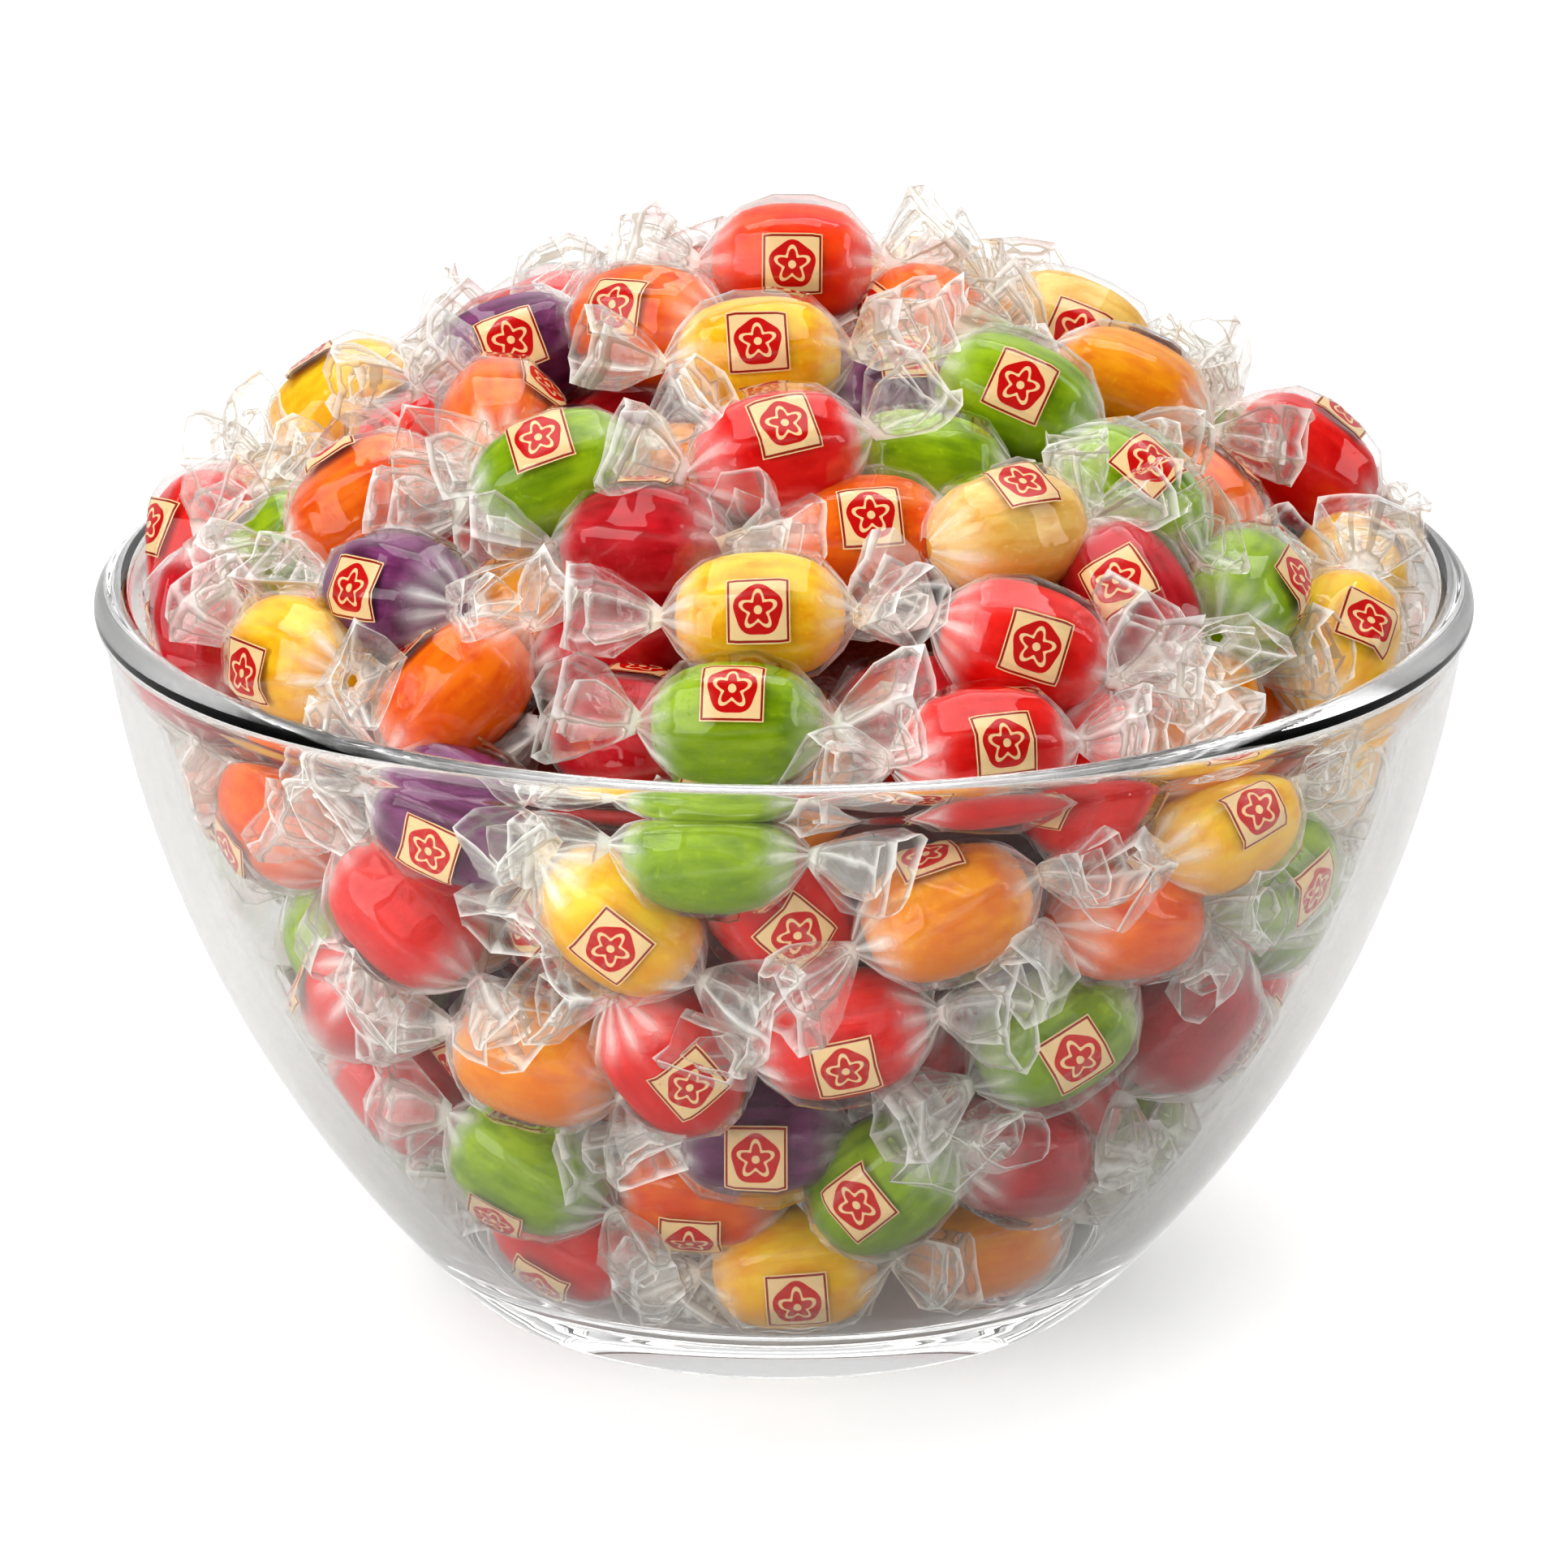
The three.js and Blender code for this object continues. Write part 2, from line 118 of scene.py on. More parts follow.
@dataclass(frozen=True)
class BowlForm:
    """Sizes of the turned bowl: its wall is one arc in section."""

    height: float = 91.0
    arc_radius: float = 149.2
    upright_height: float = 105.6
    upright_radius: float = 85.4
    wall: float = 4.2
    floor: float = 7.5
    foot_edge: float = 3.0
    floor_fillet: float = 8.0
    lip_proud: float = 0.6

    @property
    def arc_middle(self) -> float:
        """Radius at which the wall's arc has its centre."""
        return self.upright_radius - self.arc_radius

    def wall_radius(self, height: float | Points, inset: float) -> float | Points:
        """Radius of the wall's arc, moved inwards by an inset, at each height; above the arc it is even."""
        below = np.maximum(0.0, self.upright_height - np.asarray(height, float))
        return self.arc_middle + np.sqrt((self.arc_radius - inset) ** 2 - below**2)


@dataclass(frozen=True)
class HeapForm:
    """The heap's surface: the bowl's inside below, and a mound that falls from its peak to the rim."""

    bowl: BowlForm = BowlForm()
    peak: float = 131.5
    fall: float = 41.5
    fall_radius: float = 82.0
    fall_power: float = 2.2
    gap: float = 0.8
    floor_gap: float = 1.2
    slope_step: float = 0.5

    def outside(self, spots: Points) -> Points:
        """How far spots stand out of the heap's surface.

        Args:
            spots: The spots.

        Returns:
            The distance of each; inside the heap it is below zero.
        """
        bowl, power = self.bowl, self.fall_power
        radius = np.hypot(spots[..., 0], spots[..., 1])
        below = np.maximum(0.0, bowl.upright_height - spots[..., 2])
        wall = np.hypot(radius - bowl.arc_middle, below) - (bowl.arc_radius - bowl.wall - self.gap)
        part = radius / self.fall_radius
        slope = (self.fall * power / self.fall_radius) * part ** (power - 1)
        crown = (spots[..., 2] - (self.peak - self.fall * part**power)) / np.hypot(1.0, slope)
        floor = bowl.floor + self.floor_gap - spots[..., 2]
        return np.maximum(np.maximum(wall, crown), floor)

    def outward(self, spots: Points) -> Points:
        """The heap's outward direction at each spot."""
        steps = self.slope_step * np.eye(3)
        return unit(joined(*(self.outside(spots + step) - self.outside(spots - step) for step in steps)))

    def kept_inside(self, spots: Points, depth: float | Points) -> Points:
        """Spots moved in until each lies this far under the surface, or deeper."""
        over = np.maximum(0.0, self.outside(spots) + depth)
        return spots - self.outward(spots) * over[..., None]

    def kept_off_glass(self, spots: Points) -> Points:
        """Moves spots that would reach into the glass back to the heap's side of it.

        Args:
            spots: The spots.

        Returns:
            The spots, clear of the glass.
        """
        clear = spots.copy()
        clear[..., 2] = np.maximum(clear[..., 2], self.bowl.floor + self.floor_gap)
        most = self.bowl.wall_radius(clear[..., 2], self.bowl.wall + self.gap)
        shrink = np.minimum(1.0, most / np.maximum(np.hypot(clear[..., 0], clear[..., 1]), TINY))
        clear[..., :2] *= shrink[..., None]
        return clear


@dataclass(frozen=True)
class Viewpoint:
    """Where the photographer stands."""

    distance: float = 944.0
    aim_height: float = 63.1
    elevation: float = math.radians(18.74)
    lens: float = 173.3
    sensor: float = 36.0
    sight_reach: float = 120.0
    sight_step: float = 0.5

    @property
    def aim(self) -> Points:
        """The point looked at."""
        return np.array([0.0, 0.0, self.aim_height])

    @property
    def right(self) -> Points:
        """The picture's level direction."""
        return np.array([1.0, 0.0, 0.0])

    @property
    def upward(self) -> Points:
        """The picture's upward direction."""
        return np.array([0.0, math.sin(self.elevation), math.cos(self.elevation)])

    @property
    def eye(self) -> Points:
        """The place of the lens."""
        back = np.array([0.0, -math.cos(self.elevation), math.sin(self.elevation)])
        return self.aim + back * self.distance

    def find(self, across: float, up: float, depth: float, heap: HeapForm) -> Points:
        """Where the line of sight through a place in the picture first lies this deep in the heap.

        Args:
            across: Millimetres right of the axis, in the plane through the axis that faces the eye.
            up: Millimetres above the point looked at, in the same plane.
            depth: How far under the heap's surface.
            heap: The heap.

        Returns:
            The spot, or the deepest one on the line where none is deep enough.
        """
        target = self.aim + self.right * across + self.upward * up
        along = np.arange(-self.sight_reach, self.sight_reach, self.sight_step) + self.distance
        spots = self.eye + unit(target - self.eye) * along[:, None]
        out = heap.outside(spots) + depth
        inside = np.flatnonzero(out <= 0)
        return spots[inside[0] if len(inside) else int(np.argmin(out))]

    def set_camera(self) -> None:
        """Makes the camera, and the scene's current one."""
        data = bpy.data.cameras.new("camera")
        data.sensor_width = self.sensor
        data.lens = self.lens
        data.dof.use_dof = False
        camera = bpy.data.objects.new("camera", data)
        bpy.context.scene.collection.objects.link(camera)
        camera.location = self.eye * MM
        camera.rotation_euler = Vector((self.aim - self.eye) * MM).to_track_quat("-Z", "Y").to_euler()
        bpy.context.scene.camera = camera


# ---------------------------------------------------------------------------------------------
# Flavours and the candies that the front shows
# ---------------------------------------------------------------------------------------------


class Flavour(Enum):
    """The candies' colours: the boiled sugar at its deepest, and where light comes through it."""

    YELLOW = ("yellow", (238, 164, 4), (250, 206, 50))
    CREAM = ("cream", (230, 170, 66), (246, 208, 122))
    AMBER = ("amber", (224, 120, 2), (244, 162, 22))
    ORANGE = ("orange", (222, 78, 2), (244, 124, 24))
    CORAL = ("coral", (236, 42, 4), (250, 84, 26))
    RED = ("red", (210, 8, 8), (238, 46, 38))
    CRIMSON = ("crimson", (160, 8, 18), (202, 36, 48))
    GREEN = ("green", (114, 146, 2), (158, 188, 24))
    PURPLE = ("purple", (86, 28, 66), (134, 66, 116))

    @property
    def label(self) -> str:
        """The flavour's name in pieces and materials."""
        return self.value[0]


ON_TOP = 7.6
TUCKED = 13.0
BURIED = 19.0


@dataclass(frozen=True)
class Seen:
    """A candy that the front shows.

    across and up place it in the picture, lean is its long axis against the level and turn how far its
    printed square is rolled up from facing the eye, both in degrees; depth is how deep its middle lies.
    """

    flavour: Flavour
    across: float
    up: float
    lean: float
    depth: float = ON_TOP
    turn: float = 90.0


MOUND = (
    Seen(Flavour.CORAL, 1, 65, 0, 3.0, 0),
    Seen(Flavour.YELLOW, -3, 53, 5, turn=16),
    Seen(Flavour.RED, 0, 40, 25, turn=26),
    Seen(Flavour.GREEN, 29, 48, -30, turn=13),
    Seen(Flavour.GREEN, -28, 38, 15, turn=40),
    Seen(Flavour.PURPLE, -34, 53, 20, turn=15),
    Seen(Flavour.YELLOW, -55, 47, 45, 5.0),
    Seen(Flavour.CREAM, 36, 56, -10, 6.0, 5),
    Seen(Flavour.AMBER, 43, 48, -60, turn=120),
    Seen(Flavour.RED, 65, 40, -30, 4.0),
    Seen(Flavour.PURPLE, 63, 37, -40, turn=0),
    Seen(Flavour.ORANGE, 51, 35, 80, TUCKED, 100),
    Seen(Flavour.GREEN, 57, 23, 50, turn=-40),
    Seen(Flavour.YELLOW, 69, 17, 20, turn=-20),
    Seen(Flavour.CRIMSON, 43, 23, -75, turn=0),
    Seen(Flavour.RED, 30, 17, -12, turn=4),
    Seen(Flavour.CREAM, 28, 31, 25, turn=50),
    Seen(Flavour.ORANGE, 10, 32, 10, TUCKED, 20),
    Seen(Flavour.YELLOW, -3, 21, 0, turn=5),
    Seen(Flavour.GREEN, -6, 7, -3, turn=30),
    Seen(Flavour.GREEN, 17, 38, 0, TUCKED, 120),
    Seen(Flavour.CRIMSON, -18, 27, -15, TUCKED, 100),
    Seen(Flavour.CRIMSON, -22, 18, 10, BURIED, 100),
    Seen(Flavour.PURPLE, -48, 23, -30, turn=0),
    Seen(Flavour.YELLOW, -60, 16, -35, turn=-30),
    Seen(Flavour.ORANGE, -52, 35, 10),
    Seen(Flavour.GREEN, -63, 28, -20, TUCKED),
    Seen(Flavour.RED, -75, 30, 70, 6.0, 60),
    Seen(Flavour.RED, -44, 43, 0, TUCKED, 100),
    Seen(Flavour.AMBER, -33, 18, 15, BURIED),
    Seen(Flavour.ORANGE, -41, 11, 60, TUCKED),
    Seen(Flavour.CRIMSON, -19, 7, -20, BURIED),
    Seen(Flavour.RED, 25, 4, 10, turn=5),
    Seen(Flavour.AMBER, 51, 6, 10, TUCKED),
    Seen(Flavour.ORANGE, 56, 12, 40, BURIED),
)

BEHIND_GLASS = (
    Seen(Flavour.GREEN, -9, -7, 0, turn=75),
    Seen(Flavour.PURPLE, -40, -3, -20, turn=-40),
    Seen(Flavour.RED, -46, -15, -35, turn=80),
    Seen(Flavour.YELLOW, -20, -16, -45, turn=-25),
    Seen(Flavour.AMBER, 20, -15, 20, turn=60),
    Seen(Flavour.ORANGE, 42, -15, -15, turn=60),
    Seen(Flavour.YELLOW, 53, -2, 10, turn=-10),
    Seen(Flavour.GREEN, 62, -15, 60),
    Seen(Flavour.ORANGE, -69, 0, 20),
    Seen(Flavour.GREEN, -54, -22, -50, TUCKED),
    Seen(Flavour.RED, 7, -30, 15, turn=-33),
    Seen(Flavour.GREEN, 33, -30, 25, turn=-28),
    Seen(Flavour.CRIMSON, 49, -28, 60),
    Seen(Flavour.AMBER, -30, -33, 0),
    Seen(Flavour.ORANGE, -20, -30, 30, BURIED),
    Seen(Flavour.RED, -48, -36, -60),
    Seen(Flavour.GREEN, -31, -46, -10, turn=-75),
    Seen(Flavour.PURPLE, -3, -43, 0, TUCKED, -20),
    Seen(Flavour.GREEN, 12, -48, 65, turn=0),
    Seen(Flavour.CRIMSON, 28, -45, -40),
    Seen(Flavour.ORANGE, -10, -49, 0, TUCKED, -60),
    Seen(Flavour.RED, -26, -54, -20, turn=-70),
    Seen(Flavour.YELLOW, 1, -58, 0, turn=-33),
    Seen(Flavour.AMBER, 24, -55, -20, TUCKED),
    Seen(Flavour.GREEN, 42, -43, 70, TUCKED),
    Seen(Flavour.RED, 58, -28, -70, TUCKED),
)


DEEP_FLAVOURS = (Flavour.CRIMSON, Flavour.CRIMSON, Flavour.PURPLE, Flavour.AMBER)


@dataclass
class Candy:
    """One wrapped candy in its place.

    middle and axis say where its body lies, wings the directions of its two wings, and face the way its
    printed square looks. hold is how strongly it keeps its place while the heap settles, and proud how
    far it may stand out of the heap's surface.
    """

    flavour: Flavour
    middle: Points
    axis: Points
    wings: Points
    face: Points
    hold: float
    dice: Dice
    proud: float = 0.0
    winged: bool = True

    @property
    def basis(self) -> Points:
        """The directions along the axis, across it and towards the face."""
        face = unit(self.face - self.axis * float(self.face @ self.axis))
        return np.stack([self.axis, np.cross(face, self.axis), face])

    def point(self, local: Points) -> Points:
        """Points given along the axis, across it and towards the face, in the bowl's frame."""
        return self.middle + local @ self.basis

    def local(self, spots: Points) -> Points:
        """Points of the bowl's frame, along the axis, across it and towards the face."""
        return (spots - self.middle) @ self.basis.T


@dataclass(frozen=True)
class CandyForm:
    """Sizes of one wrapped candy."""

    half_length: float = 9.85
    half_width: float = 7.35
    roundness: float = 2.45
    pinch: float = 11.4
    wing_length: float = 10.8
    wing_width: float = 15.2
    wing_thickness: float = 10.5


@dataclass(frozen=True)
class Layer:
    """A layer of scattered candies: how deep, how far apart their middles, and of which flavours."""

    depth: float
    apart: float
    winged: bool = True
    flavours: tuple[Flavour, ...] = tuple(seen.flavour for seen in MOUND + BEHIND_GLASS)


@dataclass
class HeapLayout:
    """Places every candy: the seen ones and the scattered ones, pushed apart, over a deep layer."""

    heap: HeapForm
    view: Viewpoint
    form: CandyForm
    seed: int = 20
    mix: int = 60551
    mix_step: int = 7919
    first_seed: int = 1000
    throws: int = 60000
    skin: float = 1.5
    layers: tuple[Layer, ...] = (Layer(ON_TOP, 17.5), Layer(TUCKED, 16.0))
    deep_layer: Layer = Layer(21.0, 15.0, False, DEEP_FLAVOURS)
    rounds: int = 90
    end_reach: float = 4.1
    end_radius: float = 5.5
    middle_radius: float = 7.1
    wing_reach: float = 5.6
    wing_radius: float = 3.6
    hold: float = 0.12
    loose_hold: float = 0.04
    straighten: float = 0.12

    def candies(self) -> list[Candy]:
        """Places every candy of the heap.

        Returns:
            The candies, those that the front shows first.
        """
        placed = [self.seen_candy(seen, i) for i, seen in enumerate(MOUND + BEHIND_GLASS)]
        throws = Dice(self.seed)
        for layer in self.layers:
            self.scatter(placed, layer, throws)
        self.settle(placed)
        self.scatter(placed, self.deep_layer, throws)
        return placed

    def laid(self, flavour: Flavour, middle: Points, direction: Points, hold: float, number: int) -> Candy:
        """Lays a candy along the heap's surface.

        Args:
            flavour: Its flavour.
            middle: Its place.
            direction: The direction that it is turned to, as near as fits.
            hold: How strongly it keeps its place.
            number: How many candies lie there already.

        Returns:
            The candy, facing outwards.
        """
        away = self.heap.outward(middle)
        axis = unit(direction - away * float(direction @ away))
        dice = Dice(self.first_seed + number)
        return Candy(flavour, middle, axis, np.array([-axis, axis]), away, hold, dice)

    def seen_candy(self, seen: Seen, number: int) -> Candy:
        """Lays a candy that the front shows, with its printed square turned as seen.

        Args:
            seen: How it is seen.
            number: How many candies lie there already.

        Returns:
            The candy.
        """
        middle = self.view.find(seen.across, seen.up, seen.depth, self.heap)
        lean, turn = math.radians(seen.lean), math.radians(seen.turn)
        direction = self.view.right * math.cos(lean) + self.view.upward * math.sin(lean)
        candy = self.laid(seen.flavour, middle, direction, self.hold, number)
        candy.proud = max(0.0, ON_TOP - seen.depth)
        to_eye = unit(self.view.eye - middle)
        to_eye = unit(to_eye - candy.axis * float(to_eye @ candy.axis))
        over = np.cross(candy.axis, to_eye)
        over = over * (1.0 if float(over @ self.view.upward) > 0 else -1.0)
        candy.face = to_eye * math.cos(turn) + over * math.sin(turn)
        return candy

    def scatter(self, placed: list[Candy], layer: Layer, throws: Dice) -> None:
        """Throws candies at random into one layer, and keeps each that has room.

        Args:
            placed: The candies so far; the new ones are added.
            layer: The layer's depth and spacing.
            throws: The stream of numbers that the throws use.
        """
        draws = throws.many(4 * self.throws).reshape(-1, 4)
        level = (2 * draws[:, :2] - 1) * self.heap.fall_radius
        spots = joined(level[:, 0], level[:, 1], draws[:, 2] * self.heap.peak)
        in_layer = np.abs(self.heap.outside(spots) + layer.depth) < self.skin
        middles = [candy.middle for candy in placed]
        for spot, turn in zip(spots[in_layer], FULL_TURN * draws[in_layer, 3]):
            if np.linalg.norm(np.array(middles) - spot, axis=1).min() <= layer.apart:
                continue
            number = len(placed)
            mixed = Dice(number * self.mix_step + self.mix)
            flavour = mixed.pick(layer.flavours)
            direction = np.array([math.cos(turn), math.sin(turn), math.sin(2 * turn)])
            candy = self.laid(flavour, spot, direction, self.loose_hold, number)
            roll = mixed.spread(-math.pi, math.pi)
            side = np.cross(candy.axis, candy.face)
            candy.face = candy.face * math.cos(roll) + side * math.sin(roll)
            candy.winged = layer.winged
            placed.append(candy)
            middles.append(spot)

    def settle(self, placed: list[Candy]) -> None:
        """Pushes overlapping candies apart, and keeps them in the bowl and near their places.

        Args:
            placed: The candies, whose places and directions change.
        """
        reaches = np.array([-self.end_reach, 0.0, self.end_reach])[None, :, None]
        sizes = np.array([self.end_radius, self.middle_radius, self.end_radius])
        wing_sizes = np.full(2, self.wing_radius)
        middle = np.array([candy.middle for candy in placed])
        axis = np.array([candy.axis for candy in placed])
        wings = np.array([candy.wings for candy in placed])
        hold = np.array([candy.hold for candy in placed])[:, None, None]
        proud = np.array([candy.proud for candy in placed])
        sides = np.array([-1.0, 1.0])[None, :, None]
        home = middle[:, None] + axis[:, None] * reaches[:, [0, 2]]
        for _ in range(self.rounds):
            bodies = middle[:, None] + axis[:, None] * reaches
            tips = middle[:, None] + axis[:, None] * sides * self.form.pinch + wings * self.wing_reach
            push = self.pushes(bodies, sizes, bodies, sizes, 0.5)
            wing_push = self.pushes(tips, wing_sizes, bodies, sizes, 1.0)
            wing_push += self.pushes(tips, wing_sizes, tips, wing_sizes, 0.5)
            moved = bodies[:, [0, 2]] + 0.5 * push[:, [0, 2]] + 0.5 * push[:, [1]]
            moved = moved + (home - moved) * hold
            moved = self.heap.kept_inside(moved, self.end_radius - proud[:, None])
            middle = self.heap.kept_inside(moved.mean(axis=1), self.middle_radius - proud)
            axis = unit(moved[:, 1] - moved[:, 0])
            straight = axis[:, None] * sides
            twist = middle[:, None] + straight * self.form.pinch
            tips = self.heap.kept_inside(tips + wing_push, self.wing_radius - proud[:, None])
            aim = unit(tips - twist)
            wings = unit(aim + (straight - aim) * self.straighten)
        for i, candy in enumerate(placed):
            candy.middle, candy.axis, candy.wings = middle[i], axis[i], wings[i]

    @staticmethod
    def pushes(balls: Points, sizes: Points, others: Points, other_sizes: Points, share: float) -> Points:
        """How far each ball is pushed out of the balls of the other candies.

        Args:
            balls: Their places, a row of balls for each candy.
            sizes: Radius of each ball in a row.
            others: Places of the balls that push.
            other_sizes: Their radii.
            share: The share of an overlap that the pushed ball gives way to.

        Returns:
            The push on each ball.
        """
        between = balls[:, :, None, None] - others[None, None]
        gap = np.linalg.norm(between, axis=-1)
        overlap = sizes[None, :, None, None] + other_sizes[None, None, None] - gap
        own = np.eye(len(balls), dtype=bool)[:, None, :, None]
        overlap = np.where(own, 0.0, np.maximum(overlap, 0.0))
        push = between / np.maximum(gap, TINY)[..., None] * (share * overlap)[..., None]
        return push.sum(axis=(2, 3))


# ---------------------------------------------------------------------------------------------
# Meshes
# ---------------------------------------------------------------------------------------------


class Batch:
    """Collects many small shapes that become one piece."""

    def __init__(self) -> None:
        """Starts empty."""
        self.shapes: list[tuple[Points, ...]] = []
        self.total = 0

    def add(
        self,
        spots: Points,
        faces: Points,
        mark: float | Points = 0.0,
        place: float | Points = 0.0,
        grain: float | Points = 0.0,
        smooth: bool = True,
    ) -> None:
        """Adds one shape.

        Args:
            spots: Its vertices, in millimetres.
            faces: Four vertex numbers a face; a triangle repeats its last one.
            mark: A value for each vertex: on the film how sharply it is folded there, on the sugar how low
                it lies in its candy, for a painted shade.
            place: Two coordinates for each vertex, for a print.
            grain: Each vertex in its candy's own frame.
            smooth: Whether its faces shade as one smooth surface.
        """
        count = len(spots)
        sizes = ((mark, count), (place, (count, 2)), (grain, (count, 3)))
        values = (np.broadcast_to(value, size) for value, size in sizes)
        self.shapes.append((spots, faces + self.total, np.full(len(faces), smooth), *values))
        self.total += count

    def piece(self, name: str, material: bpy.types.Material) -> bpy.types.Object:
        """Makes the piece.

        Args:
            name: The piece's name.
            material: Its material.

        Returns:
            The object, in metres, linked to the scene.
        """
        spots, quads, smooth, *values = (np.concatenate(part) for part in zip(*self.shapes))
        marks, places, grains = (part.astype(np.float32) for part in values)
        faces = [quad[:3] if quad[2] == quad[3] else quad for quad in quads.tolist()]
        mesh = bpy.data.meshes.new(name)
        mesh.from_pydata((spots * MM).tolist(), [], faces)
        mesh.polygons.foreach_set("use_smooth", smooth)
        if marks.any():
            mesh.attributes.new("fold", "FLOAT", "POINT").data.foreach_set("value", marks)
        if grains.any():
            mesh.attributes.new("grain", "FLOAT_VECTOR", "POINT").data.foreach_set("vector", grains.ravel())
        if places.any():
            corners = np.empty(len(mesh.loops), np.int32)
            mesh.loops.foreach_get("vertex_index", corners)
            mesh.uv_layers.new(name="print").data.foreach_set("uv", places[corners].ravel())
        mesh.materials.append(material)
        mesh.validate()
        mesh.update()
        piece = bpy.data.objects.new(name, mesh)
        bpy.context.scene.collection.objects.link(piece)
        return piece


def tube_faces(rings: int, sides: int) -> Points:
    """Faces of a tube of rings.

    Args:
        rings: How many rings, numbered one after another.
        sides: How many vertices each has.

    Returns:
        Four vertex numbers a face.
    """
    ring, side = np.meshgrid(np.arange(rings - 1), np.arange(sides), indexing="ij")
    here, after = ring * sides + side, ring * sides + (side + 1) % sides
    return joined(here, after, after + sides, here + sides).reshape(-1, 4)


def grid_faces(side: int) -> Points:
    """Faces of a square net of vertices, with so many a side."""
    here = (np.arange(side - 1)[:, None] * side + np.arange(side - 1)).reshape(-1)
    return joined(here, here + 1, here + side + 1, here + side)


@dataclass(frozen=True)
class SugarBody:
    """The boiled-sugar body inside a wrapper."""

    form: CandyForm
    rings: int = 15
    sides: int = 20
    size_spread: Span = (0.97, 1.03)
    bump: float = 0.12
    bumps: tuple[int, ...] = (2, 3, 4)

    def add(self, batch: Batch, candy: Candy, heap: HeapForm) -> None:
        """Adds the body of one candy to a batch.

        Args:
            batch: The batch.
            candy: The candy.
            heap: The heap, which keeps the body off the glass.
        """
        dice, form = candy.dice, self.form
        size = dice.spread(*self.size_spread)
        bumps = [(dice.spread(-self.bump, self.bump), dice.spread(0, FULL_TURN), k) for k in self.bumps]
        along = np.sin(np.linspace(-math.pi / 2, math.pi / 2, self.rings))
        radius = np.maximum(0.0, 1 - np.abs(along) ** form.roundness) ** (1 / form.roundness)
        angle = angles(self.sides)
        swell = 1 + sum(a * np.cos(k * angle + phase) for a, phase, k in bumps) / form.half_width
        reach = radius[:, None] * swell * form.half_width * size
        length = along * form.half_length * size
        local = joined(length[:, None], reach * np.sin(angle), reach * np.cos(angle)).reshape(-1, 3)
        spots = candy.point(local)
        # Painted light and shade: how low each vertex lies in its candy, 0 high up and 1 at the bottom; the
        # finish paints the sugar deeper there and paler on top, as if lit from above.
        down = np.clip(0.5 - (spots[:, 2] - candy.middle[2]) / (2 * form.half_width), 0, 1)
        batch.add(heap.kept_off_glass(spots), tube_faces(self.rings, self.sides), mark=down, grain=local)


